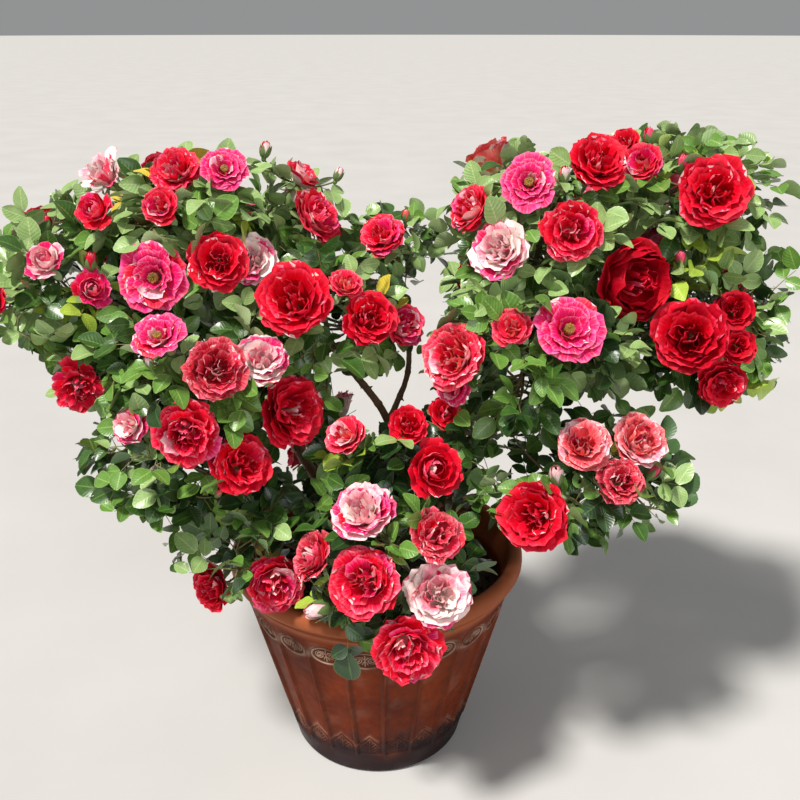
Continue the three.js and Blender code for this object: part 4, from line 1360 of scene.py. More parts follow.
leaves = []
for number, branch in enumerate(branches):
    line, k = branch["line"], branch["mass"]
    lengths = np.concatenate([[0], np.cumsum(norm(np.diff(line, axis=0), axis=1))])
    full = lengths[-1]
    marks = np.arange(full * BARE[branch["kind"]] + leaf_random.uniform(0, 16), full - 4, LEAF_STEP)
    marks = [*marks, full] if branch["kind"] in ("shoot", "twig") else marks
    turn = leaf_random.uniform(0, 6.28)
    for along in marks:
        p = along_line(line, lengths, along)
        way = unit(along_line(line, lengths, min(along + 3, full))
                   - along_line(line, lengths, max(along - 3, 0)))
        side = unit(np.cross(way, [0.31, 0.17, 0.93]))
        turn += GOLDEN_ANGLE
        around = side * math.cos(turn) + np.cross(way, side) * math.sin(turn)
        lean = 0.95 if along < full else 0.25
        outwards = unit((p - MIDDLES[k]) / HALVES[k])
        d = unit(way * 0.75 + around * lean + outwards * 0.25 + (0, 0, 0.1))
        n = np.array([0, 0, 0.95]) + outwards * 0.6 + leaf_random.standard_normal(3) * 0.34
        leaves.append((p, d, unit(n - d * (n @ d)), number, along / full * (len(line) - 1), k))
leaf_from, leaf_way, leaf_up, leaf_branch, leaf_step, leaf_mass = (np.array(v) for v in zip(*leaves))
print("leaves:", len(leaves))

# %% [markdown]
# A leaf's tone goes by its spray. Leaves deep in the crown get darker tones, as painted shade,
# and those high up and outside lighter, greyer ones, as painted light. The newest are yellow
# green, and a few are turning yellow.

# %% Deal out tones and lay the leaflets
TONE_LIMITS = (0.4, 0.57, 0.74)
YOUNG, YELLOW, TILES = 4, 5, 4


def on_tile(slots, places, inset=0.06):
    """A place on a slot's own tile of the map named OFBake."""
    slots = np.asarray(slots)
    corner = np.stack([slots % TILES, slots // TILES], -1)[..., None, :]
    return (corner + inset + (1 - 2 * inset) * places) / TILES


def tone_of(branch):
    k, tip = branch["mass"], branch["line"][-1]
    out = spread(k, tip)[0]
    # Sprays high up and far out get lighter tones, which paints light on top and shade inside.
    high = (tip[2] - 420) / 700 + 0.35 * (out - 0.8)
    score = 0.55 * high + 0.55 * leaf_random.random() + 0.35 * (out - 0.7)
    tone = int(np.searchsorted(TONE_LIMITS, score, side="right"))
    new_growth = 0.26 if NAMES[k] in ("right_crown", "right_outer") else 0.02
    if out > 0.7 and leaf_random.random() < new_growth:
        tone = YOUNG
    return YELLOW if leaf_random.random() < 0.003 else tone


tone = np.array([tone_of(branch) for branch in branches])[leaf_branch]
loose = leaf_random.random(len(tone)) < 0.22
tone = np.where(loose & (tone < 3), (tone + 1), tone)
kinds = leaf_random.choice([3, 5, 7], size=len(leaf_from), p=[0.3, 0.58, 0.12])
rachis = leaf_random.uniform(50, 78, len(leaf_from)) * np.where(kinds == 3, 0.72, 1.0)
down = np.array([0, 0, -1.0])
hangs = (leaf_branch == HANGING) & (leaf_step > 4.9)
leaf_way[hangs], leaf_up[hangs] = (-0.04, -0.1, -0.99), (0.0, -0.99, 0.1)
# The leaf hanging over the pot's front gets the darkest tone, which paints the shade it hangs in.
kinds[hangs], rachis[hangs], tone[hangs] = 3, 22.0, 0
LEAFLET_PAIRS = {3: (1.0, [(0.62, 0.86)]), 5: (1.0, [(0.74, 0.9), (0.4, 0.74)]),
                 7: (0.95, [(0.8, 0.86), (0.54, 0.78), (0.3, 0.64)])}


def along_rachis(which, t):
    return (leaf_from[which] + leaf_way[which] * (rachis[which] * t)[:, None]
            + down * (rachis[which] * 0.16 * t ** 2)[:, None])


laid = []
for kind, (end_scale, pairs) in LEAFLET_PAIRS.items():
    which = np.nonzero(kinds == kind)[0]
    for t, side, scale in [(1.0, 0, end_scale), *((t, side, s) for t, s in pairs for side in (-1, 1))]:
        d, n = leaf_way[which], leaf_up[which]
        turn = side * leaf_random.uniform(0.85, 1.15, len(which))
        f = d * np.cos(turn)[:, None] + np.cross(d, n) * np.sin(turn)[:, None]
        f = rows_to_unit(f + leaf_random.standard_normal(f.shape) * 0.13 + down * 0.1)
        m = n + leaf_random.standard_normal(n.shape) * 0.26
        m = rows_to_unit(m - f * (m * f).sum(1)[:, None])
        place_t = np.full(len(which), t)
        long = leaf_random.uniform(33, 46, len(which)) * scale
        long[hangs[which]] = 50 * scale ** 4
        laid.append((which, place_t, along_rachis(which, place_t) + f * abs(side) * 2.0, f, m, long))
laid = [np.concatenate(values) for values in zip(*laid)]
print("leaflets laid:", len(laid[0]))

# %% [markdown]
# Not each of them can stay. A leaflet must keep inside the frame's box and its mass, clear of
# the pot and the openings, and out of the way of each flower, along its face and towards the
# viewer. A few leaves are spared, and hang over a rose's edge.

# %% Keep the leaflets that have room
owner, place_t, foot_at, forward, normal, length = laid
heart, tip = (foot_at + forward * length[:, None] * share for share in (0.5, 1.0))
low, high = (np.array(corner) / MM for corner in cad_box)
keep = ((tip > low - 2) & (tip < high + 2)).all(1)
for k in range(len(NAMES)):
    mine = leaf_mass[owner] == k
    keep[mine] &= (spread(k, heart[mine]) < 1.1) | hangs[owner[mine]]
keep &= clear_of_pot(heart, 10) & clear_of_pot(tip, 4) & clear_of_pot(foot_at, 4) & ~in_opening(heart)
spared = (leaf_random.random(len(leaf_from)) < 0.12)[owner]
for rose in ROSES:
    for point in (heart, tip):
        gap = point - rose["at"]
        keep &= norm(gap, axis=1) > rose["radius"] * 0.94
        for axis, room, reach in ((rose["face"], 0.8, 75), (unit(CAMERA_PLACE - rose["at"]), 0.7, 95)):
            ahead = gap @ axis
            aside = norm(gap - ahead[:, None] * axis, axis=1)
            keep &= ~((ahead > 0) & (ahead < reach)
                      & (aside < rose["radius"] * np.where(spared, 0.35, room)))
owner, place_t, foot_at, forward, normal, length = (values[keep] for values in laid)
print("leaflets:", len(owner))

# %% [markdown]
# ## Pruning
# A twig without a leaf at its end looks dead. Each shoot and twig is cut back to its last leaf,
# or to the last shoot that grows from it, and one that bears nothing is cut off whole.

# %% Cut back what is bare
needed = np.zeros(len(branches))
for which in np.unique(owner):
    needed[leaf_branch[which]] = max(needed[leaf_branch[which]], leaf_step[which])
for number, branch in reversed(list(enumerate(branches))):
    line, parent = branch["line"], branch["parent"]
    if branch["kind"] not in ("shoot", "twig"):
        needed[number] = len(line) - 1
    if needed[number] > 0 and parent >= 0:
        needed[parent] = max(needed[parent], branch["joint"])
    kept = np.linspace(0, needed[number], len(line))
    branch["line"] = np.stack([np.interp(kept, np.arange(len(line)), line[:, axis]) for axis in range(3)], 1)
print("cut off whole:", int((needed == 0).sum()))

# %% [markdown]
# ## Tubes for the fine wood
# A twig seen from a step away is a tapering tube of a few sides. All of them are made in one go
# from arrays, with a ring of points at each step, and joined into one piece. Young wood is
# green with a red side, older wood is brown, so they are separate plain colours.

# %% Turn lines into tubes
def make_tube(line, thick, thin, sides, slot):
    """A tapering tube along a line, closed at both ends by a fan of triangles."""
    ways = rows_to_unit(np.gradient(line, axis=0))
    first = rows_to_unit(np.cross(ways, [0.31, 0.17, 0.93]))
    radius = np.linspace(thick, thin, len(line))[:, None, None]
    points, quads = sweep(line, first, np.cross(ways, first), radius, sides)
    tip, last = len(points), len(points) - sides
    ends = [(last + s, last + (s + 1) % sides, tip) for s in range(sides)]
    ends += [((s + 1) % sides, s, tip + 1) for s in range(sides)]
    points = np.concatenate([points, [line[-1] + ways[-1] * thin * 0.5], [line[0]]])
    return points, quads, np.array(ends), slot


SIDES_AND_SLOT = {"stem": (6, 0), "twig": (5, 1), "shoot": (4, 2), "stalk": (5, 2), "bud stalk": (4, 2)}
growing = [branch for branch, steps in zip(branches, needed) if steps > 0]
parts = [make_tube(b["line"], b["thick"], b["thin"], *SIDES_AND_SLOT[b["kind"]]) for b in growing]
spots = []
for branch in growing:
    line = branch["line"]
    if branch["kind"] not in ("shoot", "bud stalk"):
        for i in range(1, len(line) - 1, 2):
            way = unit(line[i + 1] - line[i - 1])
            out = unit(np.cross(way, shoot_random.standard_normal(3)))
            spots.append((line[i] + out * branch["thin"] * 0.8, way, out, shoot_random.uniform(1.0, 1.7)))
points, faces = set_thorns(spots)
parts.append((points, np.zeros((0, 4), dtype=int), faces, 3))


def plain_bark(name, colour, second, roughness):
    return weathered_finish(name, 90.0, colour, second, 0.4, roughness, 0.4, 0.0006)


ALL_MASS_NODES = [f"mass_{name}" for name in NAMES]
points, faces, slots = join_arrays(parts)
finish_piece(mesh_from_arrays("twigs", points * MM, faces, slots),
             "twigs_and_stalks", "cane_bark", ALL_MASS_NODES,
             plain_bark("stem_bark", (0.15, 0.095, 0.052), (0.1, 0.1, 0.04), 0.7),
             plain_bark("twig_bark", (0.12, 0.13, 0.045), (0.16, 0.085, 0.045), 0.6),
             plain_bark("young_shoot", (0.12, 0.205, 0.05), (0.2, 0.13, 0.055), 0.45),
             plain_bark("twig_prickle", (0.24, 0.095, 0.05), (0.165, 0.08, 0.04), 0.5))

# %% [markdown]
# ## A leaf's green
# Fine side veins run slanting to the rim, and they, the midrib and the rim are paler than the
# skin between. One node group draws them from the place on the leaflet. Its six materials bring
# their own greens, glossy all over, with a colour of its own on the back.

# %% Mix the leaves' materials
def make_leaf_colour():
    group, given, result = new_group(
        "leaf_colour", {"Place": "Vector", "Colour": "Color", "Second": "Color", "Rim": "Color"},
        {"Colour": "Color", "Veins": "Float", "Unevenness": "Float"})
    x, y, _ = split(group, given["Place"])
    off = use_math(group, 'ABSOLUTE', use_math(group, 'SUBTRACT', x, 0.5))
    skin = use_weathered(group, given["Place"], 3.0, given["Colour"], given["Second"], 0.25)
    slant = use_math(group, 'ADD', times(group, y, 44.0), times(group, off, -26.0))
    veins = use_math(group, 'SINE', slant)
    tint = skin["Colour"]
    for value, *limits in ((veins, 0.8, 1.0, 0.0, 0.1), (off, 0.012, 0.05, 0.5, 0.0),
                           (off, 0.455, 0.497, 0.0, 0.5)):
        tint = use_mix(group, use_range(group, value, *limits), tint, given["Rim"])
    for name, value in (("Colour", tint), ("Veins", veins), ("Unevenness", skin["Height"])):
        feed(group, result[name], value)
    return group


LEAF_COLOUR = make_leaf_colour()


def leaf_material(name, colour, second, rim, back, gloss):
    material, nt = new_material(name)
    skin = use_group(nt, LEAF_COLOUR, {"Place": map_place(nt, "leaf"), "Colour": colour,
                                       "Second": second, "Rim": rim})
    facing = add_node(nt, "NewGeometry", {}).outputs["Backfacing"]
    set_finish(material, use_mix(nt, facing, skin["Colour"], back),
               use_range(nt, skin["Unevenness"], 0.7, 1.3, gloss - 0.06, gloss + 0.1),
               (skin["Veins"], 0.25, 0.0006), Specular_IOR_Level=0.35, Coat_Weight=0.55,
               Coat_Roughness=0.24)
    return material


# The dark, middle, light and palest greens are dealt out by depth and height in the crown, so they paint
# shade inside it and light on top.
LEAF_MATERIALS = [leaf_material(*values) for values in (
    ("leaf_dark", (0.011, 0.038, 0.008), (0.018, 0.056, 0.011), (0.1, 0.18, 0.045),
     (0.07, 0.14, 0.05), 0.36),
    ("leaf_middle", (0.03, 0.088, 0.012), (0.047, 0.122, 0.018), (0.21, 0.32, 0.07),
     (0.12, 0.21, 0.075), 0.34),
    ("leaf_light", (0.105, 0.235, 0.034), (0.145, 0.3, 0.05), (0.43, 0.54, 0.16), (0.24, 0.36, 0.13), 0.34),
    # The palest green is painted lighter for the top of the crown, where the light falls.
    ("leaf_painted_lit", (0.24, 0.385, 0.115), (0.32, 0.465, 0.17), (0.58, 0.66, 0.3), (0.34, 0.44, 0.2), 0.36),
    ("leaf_young", (0.33, 0.5, 0.05), (0.43, 0.59, 0.07), (0.62, 0.67, 0.15), (0.42, 0.53, 0.13), 0.34),
    ("leaf_yellow", (0.72, 0.52, 0.04), (0.56, 0.47, 0.06), (0.68, 0.56, 0.14), (0.56, 0.45, 0.12), 0.45),
)]
LEAF_MATERIALS.append(
    weathered_finish("leaf_stalk", 6.0, (0.19, 0.27, 0.07), (0.26, 0.15, 0.07), 0.3,
                     0.45, 0.3, 0.0004, "leaf"))
print("leaf materials:", len(LEAF_MATERIALS))

# %% [markdown]
# ## Joined into pieces
# All leaflets of one side of the crown are one piece. The map named "leaf" tells the material
# where on a leaflet it is: across from edge to edge, and up from foot to tip.

# %% Build the leaf pieces
STALK_SLOT = len(LEAF_MATERIALS) - 1
fold, curl, wave, wide = (leaf_random.uniform(low, high, len(owner))[:, None] for low, high in
                          ((0.15, 0.62), (-0.05, 0.34), (-0.05, 0.05), (0.92, 1.18)))
wide[hangs[owner]] = 1.25
rise = fold * np.abs(leaf_x) - curl * leaf_y ** 2 + wave * np.sin(leaf_y * 9) * np.abs(leaf_side)
leaf_points = foot_at[:, None] + sum(
    way[:, None] * (share * length[:, None])[..., None]
    for way, share in ((forward, leaf_y), (np.cross(forward, normal), leaf_x * wide), (normal, rise)))

has_leaflets = np.unique(owner)
last_t = np.zeros(len(leaf_from))
np.maximum.at(last_t, owner, place_t)
stalk_lines = np.stack([along_rachis(has_leaflets, last_t[has_leaflets] * t)
                        for t in np.linspace(0, 1, 4)], 1)


def build_leaves(name, masses):
    numbers = [NAMES.index(m) for m in masses]
    mine = np.isin(leaf_mass[owner], numbers)
    points, slots = leaf_points[mine], tone[owner[mine]]
    stalks = [make_tube(line, 0.9, 0.6, 3, STALK_SLOT)
              for line, which in zip(stalk_lines, has_leaflets) if leaf_mass[which] in numbers]
    blades = (points.reshape(-1, 3), repeat_faces(leaf_quads, len(points), len(leaf_flat)),
              NO_TRIANGLES, np.repeat(slots, len(leaf_quads)))
    all_points, faces, all_slots = join_arrays([blades, *stalks])
    leaf_uv = np.broadcast_to(leaf_map[leaf_quads.ravel()], (len(points), leaf_quads.size, 2))
    ring = np.random.default_rng(3).random((sum(f.size for f in faces) - leaf_uv[..., 0].size, 2))
    finish_piece(mesh_from_arrays(name, all_points * MM, faces, all_slots, {
        "leaf": np.concatenate([leaf_uv.reshape(-1, 2), ring]),
        "OFBake": np.concatenate([on_tile(slots, leaf_uv).reshape(-1, 2),
                                  on_tile([STALK_SLOT], ring[None])[0]])}),
                 name, "foliage", [f"mass_{m}" for m in masses], *LEAF_MATERIALS)


LEFT = [m for m in NAMES if "left" in m and "back" not in m]
BACK = [m for m in NAMES if "back" in m]
RIGHT = [m for m in NAMES if m not in LEFT and m not in BACK]
build_leaves("leaves_left", LEFT)
build_leaves("leaves_right", RIGHT)
build_leaves("leaves_back", BACK)

# %% [markdown]
# ## The shape of a petal
# A petal is narrow at its foot, broad above, hollow like a spoon, and ruffled at its margin.
# Its middle is a bent line going out and up from the foot, and it wraps some way round the
# flower's axis, inner ones tightly and outer ones loosely. Each is a thin closed shell, so its
# face and its back can have colours of their own.

# %% Work out petals from their numbers
def shell_grid(across, along):
    """Places on a petal, its face's and its back's cells, and each corner's place."""
    u, v = (g.ravel() for g in np.meshgrid(across, along))
    cols, rows = len(across), len(along)
    cells = np.array([[r * cols + c, (r + 1) * cols + c, (r + 1) * cols + c + 1, r * cols + c + 1]
                      for r in range(rows - 1) for c in range(cols - 1)])
    places = np.stack([u * 0.5 + 0.5, v], 1)
    return dict(u=u, v=v, shape=(rows, cols), cells=len(cells),
                quads=np.concatenate([cells, cells[:, ::-1] + cols * rows]),
                corners=np.concatenate([places[cells], places[cells[:, ::-1]]]).reshape(-1, 2))


PETAL_GRID = shell_grid([-1, -0.88, -0.62, -0.32, 0, 0.32, 0.62, 0.88, 1.0],
                        [0, 0.3, 0.56, 0.77, 0.91, 1.0])
SEPAL_GRID = shell_grid([-1, -0.5, 0, 0.5, 1.0], [0, 0.25, 0.5, 0.75, 1.0])


def petal_points(petals, grid):
    """petals: a dict of arrays, one row for each petal. Returns the faces' and backs' points."""
    u, v = grid["u"][None], grid["v"][None]
    (rounding, notch, half_angle, pointed, turn, tuck, curl, ruffle, waves, phase, roll, radius,
     thick) = (petals[name][:, None] for name in (
         "round", "notch", "half_angle", "pointed", "turn", "tuck", "curl", "ruffle", "waves", "phase",
         "roll", "radius", "thick"))
    reach = v * (1 - rounding * np.abs(u) ** 2.1 - notch * np.exp(-(u / 0.26) ** 2))
    t = reach[..., None]
    foot, second, third, tip = (petals["line"][:, None, i] for i in range(4))
    spine = (1 - t) ** 3 * foot + 3 * t * (1 - t) ** 2 * second + 3 * t ** 2 * (1 - t) * third + t ** 3 * tip
    broad = (0.3 + 0.7 * smooth(0, 0.62, v)) * (1 - 0.12 * smooth(0.78, 1.0, v))
    angle = turn + half_angle * np.where(pointed > 0.5, np.sin(math.pi * (0.16 + 0.8 * v)), broad) * u
    margin = v ** 3
    r = (spine[..., 0] * (1 + tuck * u) + roll * smooth(0.72, 1.0, v)
         + ruffle * 0.8 * margin * np.sin(waves * 1.7 * u + phase * 2.3))
    h = (spine[..., 1] - curl * u ** 2 * v ** 2 - roll * 0.7 * smooth(0.8, 1.0, v)
         + ruffle * margin * np.sin(waves * u + phase))
    local = np.stack([r * np.cos(angle), r * np.sin(angle), h], -1) * radius[..., None]
    front = petals["at"][:, None] + np.einsum("nvk,nkc->nvc", local, petals["axes"])
    shaped = front.reshape(len(front), *grid["shape"], 3)
    normals = np.cross(np.gradient(shaped, axis=1), np.gradient(shaped, axis=2)).reshape(front.shape)
    normals /= norm(normals, axis=2)[..., None] + 1e-9
    behind = front - normals * (thick * (1 - u ** 4) * (1 - v ** 8))[..., None]
    return np.concatenate([front, behind], 1)


print("petal faces:", len(PETAL_GRID["quads"]))

# %% [markdown]
# ## How petals are coloured
# The colour is deepest a little above the foot, where the petal is pale, and runs out in fine
# streaks towards a thin pale margin. One node group does this for every kind of petal from the
# place on the petal, and each kind brings its own four colours.

# %% Build the group "petal_colour" and the materials
def make_petal_colour():
    group, given, result = new_group(
        "petal_colour", {"Place": "Vector", "Throat": "Color", "Body": "Color", "Deep": "Color",
                         "Margin": "Color", "Streaks": "Float"}, {"Colour": "Color", "Height": "Float"})
    x, y, _ = split(group, given["Place"])
    aside = use_math(group, 'SUBTRACT', x, 0.5)
    fan = use_math(group, 'DIVIDE', aside, use_math(group, 'ADD', y, 0.5))
    along = add_node(group, "CombineXYZ", {"X": times(group, fan, 34.0), "Y": times(group, y, 1.6)})
    fibre = use_noise(group, along.outputs[0], 1.0, 3.0)
    cloud = use_noise(group, given["Place"], 2.6, 2.0)
    frayed = times(group, use_math(group, 'SUBTRACT', fibre, 0.5), 0.16)
    up = use_math(group, 'ADD', y, frayed)
    off = use_math(group, 'ADD', use_math(group, 'ABSOLUTE', aside), frayed)
    rim = use_math(group, 'MAXIMUM', use_range(group, up, 0.86, 1.0), use_range(group, off, 0.44, 0.51))
    streaks = times(group, use_range(group, fibre, 0.5, 0.68), given["Streaks"])
    colour = use_mix(group, use_range(group, cloud, 0.35, 0.65), given["Body"], given["Deep"])
    for share, other in ((streaks, "Margin"), (times(group, rim, 0.3), "Margin"),
                         (use_range(group, up, 0.05, 0.34, 0.9, 0.0), "Throat")):
        colour = use_mix(group, share, colour, given[other])
    feed(group, result["Colour"], colour)
    feed(group, result["Height"], fibre)
    return group


PETAL_COLOUR = make_petal_colour()


def petal_material(name, throat, body, deep, margin, streaks):
    material, nt = new_material(name)
    tint = use_group(nt, PETAL_COLOUR, {"Place": map_place(nt, "petal"), "Throat": throat, "Body": body,
                                        "Deep": deep, "Margin": margin, "Streaks": streaks})
    set_finish(material, tint["Colour"], use_range(nt, tint["Height"], 0.3, 0.7, 0.46, 0.66),
               (tint["Height"], 0.5, 0.0008), Specular_IOR_Level=0.18)
    return material


PETAL_MATERIALS = [petal_material(*values) for values in (
    ("petal_deep", (0.36, 0.01, 0.02), (0.56, 0.0, 0.012), (0.34, 0.0, 0.008), (0.7, 0.01, 0.04), 0.1),
    ("petal_red", (0.6, 0.06, 0.05), (0.82, 0.001, 0.022), (0.6, 0.0, 0.014), (0.9, 0.05, 0.1), 0.22),
    ("petal_bright", (0.88, 0.45, 0.36), (0.9, 0.003, 0.052), (0.76, 0.001, 0.028), (0.95, 0.2, 0.28), 0.3),
    ("petal_coral", (0.9, 0.55, 0.36), (0.9, 0.022, 0.085), (0.8, 0.006, 0.044), (0.95, 0.27, 0.34), 0.34),
    ("petal_pink", (0.9, 0.62, 0.5), (0.88, 0.01, 0.18), (0.76, 0.003, 0.08), (0.95, 0.3, 0.52), 0.36),
    ("petal_blush", (0.95, 0.82, 0.62), (0.95, 0.56, 0.6), (0.92, 0.2, 0.32), (0.97, 0.8, 0.8), 0.55),
    ("petal_cream", (0.95, 0.88, 0.66), (0.98, 0.92, 0.84), (0.97, 0.82, 0.78), (0.95, 0.42, 0.5), 0.1),
    ("petal_dusty", (0.76, 0.48, 0.32), (0.64, 0.016, 0.052), (0.48, 0.006, 0.03), (0.8, 0.28, 0.29), 0.42),
    ("petal_salmon", (0.92, 0.66, 0.48), (0.88, 0.12, 0.15), (0.82, 0.045, 0.08), (0.95, 0.48, 0.46), 0.45),
    ("back_red", (0.66, 0.16, 0.14), (0.76, 0.004, 0.04), (0.62, 0.002, 0.022), (0.86, 0.08, 0.14), 0.28),
    ("back_pink", (0.92, 0.62, 0.52), (0.9, 0.11, 0.2), (0.84, 0.03, 0.11), (0.95, 0.34, 0.42), 0.46),
    ("back_pale", (0.94, 0.84, 0.66), (0.95, 0.78, 0.75), (0.93, 0.52, 0.54), (0.95, 0.4, 0.46), 0.3),
    ("back_coral", (0.88, 0.62, 0.4), (0.88, 0.18, 0.15), (0.82, 0.06, 0.075), (0.93, 0.34, 0.29), 0.4),
)]
print("petal materials:", len(PETAL_MATERIALS))

# %% [markdown]
# ## Full, open and closed flowers
# A full rose is a dome of ruffled petals, set in rings round a heart that is folded about
# several middles. Some roses still hold their spiral, one is round like a ball, and an open one
# lies almost flat round an eye of stamens. A bud's eight petals are wrapped into a point. Under
# each stand five sepals, which hang back from an open flower and clasp a bud, and a round hip.

# %% Lay out the petals of each flower
rose_random = np.random.default_rng(23)
PETAL_SLOTS = [material.name for material in PETAL_MATERIALS]
BLENDS = {
    "deep": ("deep 8 red 2", "deep 8 red 2", "red 9 pink 1"),
    "red": ("red 8 bright 2", "red 8 deep 2", "red 6 pink 3 pale 1"),
    "bright": ("bright 7 pink 2 blush 1", "bright 6 red 3 pink 1", "pink 5 pale 2 red 3"),
    "coral": ("coral 8 blush 2", "coral 6 bright 4", "coral 6 pale 4"),
    "pink": ("pink 8 blush 2", "pink 9 bright 1", "pink 7 pale 3"),
    "blush": ("blush 7 cream 3", "pink 4 blush 4 bright 2", "pale 7 pink 3"),
    "cream": ("cream 5 blush 5", "cream 6 blush 2 pink 2", "pale 8 pink 2"),
    "dusty": ("dusty 9 red 1", "dusty 7 red 2 coral 1", "pink 6 pale 4"),
    "faded": ("salmon 7 pink 1 dusty 2", "salmon 5 blush 5", "pale 5 coral 5"),
    "green": ("coral 6 cream 4", "coral 6 cream 4", "pale 6 coral 4"),
}
PLAIN = dict(tuck=0.0, curl=0.0, ruffle=0.0, roll=0.0, pointed=0.0, notch=0.0, waves=3.0, thick=0.55,
             phase=(0, 6.28))
petals, sepals = defaultdict(list), defaultdict(list)


def draw_slot(side, blend):
    words = blend.split()
    shares = np.array(words[1::2], dtype=float)
    return PETAL_SLOTS.index(side + rose_random.choice(words[0::2], p=shares / shares.sum()))


def add_petal(store, rose, slots=None, share=0.0, spot=(0.0, 0.0), same_back=False, **numbers):
    """Notes one petal that lies share of the way out. Of a pair of numbers one between is drawn.
    A spot off the flower's axis is given as shares of its radius."""
    if slots is None:
        inner, outer, backs = BLENDS[rose["colour"]]
        slots = draw_slot("petal_", outer if share > 0.62 else inner), draw_slot("back_", backs)
    for name, value in PLAIN.items():
        numbers.setdefault(name, value)
    for name, value in numbers.items():
        store[name].append(rose_random.uniform(*value) if isinstance(value, tuple) else value)
    for name, value in dict(axes=rose["axes"], radius=rose["radius"], rose=rose["number"],
                            at=rose["at"] + np.array([*spot, 0.0]) @ rose["axes"] * rose["radius"],
                            front=slots[0], back=slots[0] if same_back else slots[1]).items():
        store[name].append(value)


def between(share, inner, middle, outer):
    """A value that goes from the inner petals' to the middle ones' to the outer ones'."""
    inner, middle, outer = (np.asarray(v, dtype=float) for v in (inner, middle, outer))
    return inner + (middle - inner) * share * 2 if share < 0.5 else \
        middle + (outer - middle) * (share * 2 - 1)


def spiral_rose(rose):
    """A rose still holding its shape: a wrapped middle inside large curved petals."""
    count = int(np.interp(rose["radius"], [26, 40, 60], [18, 24, 30]))
    turn = rose_random.uniform(0, 6.28)
    for i in range(count):
        share = (i / (count - 1)) ** 0.86
        wobble = rose_random.normal(0, 1, 4)
        tip = between(share, (0.05, 0.4), (0.5, 0.46), (1.0, 0.06))
        tip = tip * (1 + 0.04 * wobble[0]) + np.array([0, 0.03 * wobble[1]])
        line = [(0.06, -0.5), between(share, (0.28, -0.34), (0.4, -0.44), (0.48, -0.46)),
                between(share, (0.28, 0.24), (0.66, 0.18), (0.92, 0.02)), tip]
        roll = between(share, 0.0, 0.06, 0.12)
        add_petal(petals, rose, share=share, turn=turn + i * GOLDEN_ANGLE + 0.1 * wobble[2], line=line,
                  half_angle=between(share, 1.2, 0.85, 0.52) * (1 + 0.08 * wobble[3]),
                  round=between(share, 0.08, 0.2, 0.26), tuck=between(share, 0.16, 0.08, 0.03),
                  curl=between(share, 0.0, 0.04, 0.08), ruffle=between(share, 0.015, 0.04, 0.055),
                  waves=(3.0, 6.0), roll=(roll * 0.5, roll * 1.5))


def petals_in_rings(start, rings, wobbles):
    """Each petal of the rings: its ring's number, count and values, its wobbles and its turn."""
    for ring, (count, *values) in enumerate(rings):
        for i in range(count):
            yield (ring, count, *values, rose_random.normal(0, 1, wobbles),
                   start + (i + 0.5 * ring) * 6.283 / count)


def full_rose(rose):
    """A rose at its fullest: rings of ruffled petals on a dome, round a crumpled heart."""
    spiky, big = rose["style"] == "spiky", rose["radius"] > 36
    dome = rose_random.uniform(0.48, 0.62)
    start = rose_random.uniform(0, 6.28)
    rings = ((8, 1.44), (8, 1.2), (7, 0.94), (6, 0.68)) if big else ((7, 1.42), (6, 1.1), (5, 0.74))
    for _, count, slope, wobble, turn in petals_in_rings(start, rings, 5):
        share = slope / rings[0][1]
        angle = slope + 0.07 * wobble[0]
        size = 1 + (0.16 if spiky else 0.04) * wobble[1]
        tip = np.array([math.sin(angle) * size, dome * math.cos(angle) + 0.04 * wobble[2]])
        lean = 0.2 + 0.3 * wobble[3] + 0.3 * share
        x, z = unit(tip - (0, -0.55))
        out = np.array([x * math.cos(lean) + z * math.sin(lean), z * math.cos(lean) - x * math.sin(lean)])
        add_petal(petals, rose, share=share, turn=turn + 0.12 * wobble[4],
                  line=[(0.06, -0.5), (0.16 + 0.38 * share, -0.42), tip - out * (0.26 + 0.14 * share), tip],
                  half_angle=min(1.1, 5.4 / count) * (0.5 if spiky else 1), round=(0.1, 0.22),
                  notch=(-0.02, 0.08), tuck=(-0.1, 0.12), curl=(-0.1, 0.08), ruffle=(0.03, 0.065),
                  waves=(3.5, 6.5), roll=(-0.04, 0.05))
    crumpled_heart(rose, start, 4 if big else 3, 0.27, dome)


def crumpled_heart(rose, start, clusters, off, dome):
    """The middle of a full rose: petals folded round several middles of their own."""
    for c in range(clusters + 1):
        away = 0.0 if c == clusters else off
        around = start + c * 6.283 / clusters + rose_random.uniform(-0.3, 0.3)
        facing = rose_random.uniform(0, 6.28)
        for n in range(2 if c == clusters else 3):
            reach = 0.09 + 0.085 * n
            top = dome * math.cos(away * 1.3) + rose_random.uniform(-0.06, 0.04) - 0.05 * n * (away > 0)
            line = [(0.02, -0.42), (reach * 0.8 + 0.05, -0.12), (reach + 0.05, top - 0.24),
                    (reach + rose_random.uniform(-0.06, 0.07), top)]
            add_petal(petals, rose, share=0.1, spot=(away * math.cos(around), away * math.sin(around)),
                      turn=facing + n * 2.2, line=line, half_angle=(0.95, 1.35), round=0.14,
                      notch=(-0.03, 0.1), tuck=0.14, ruffle=(0.02, 0.045), waves=(3.0, 5.0), thick=0.5)


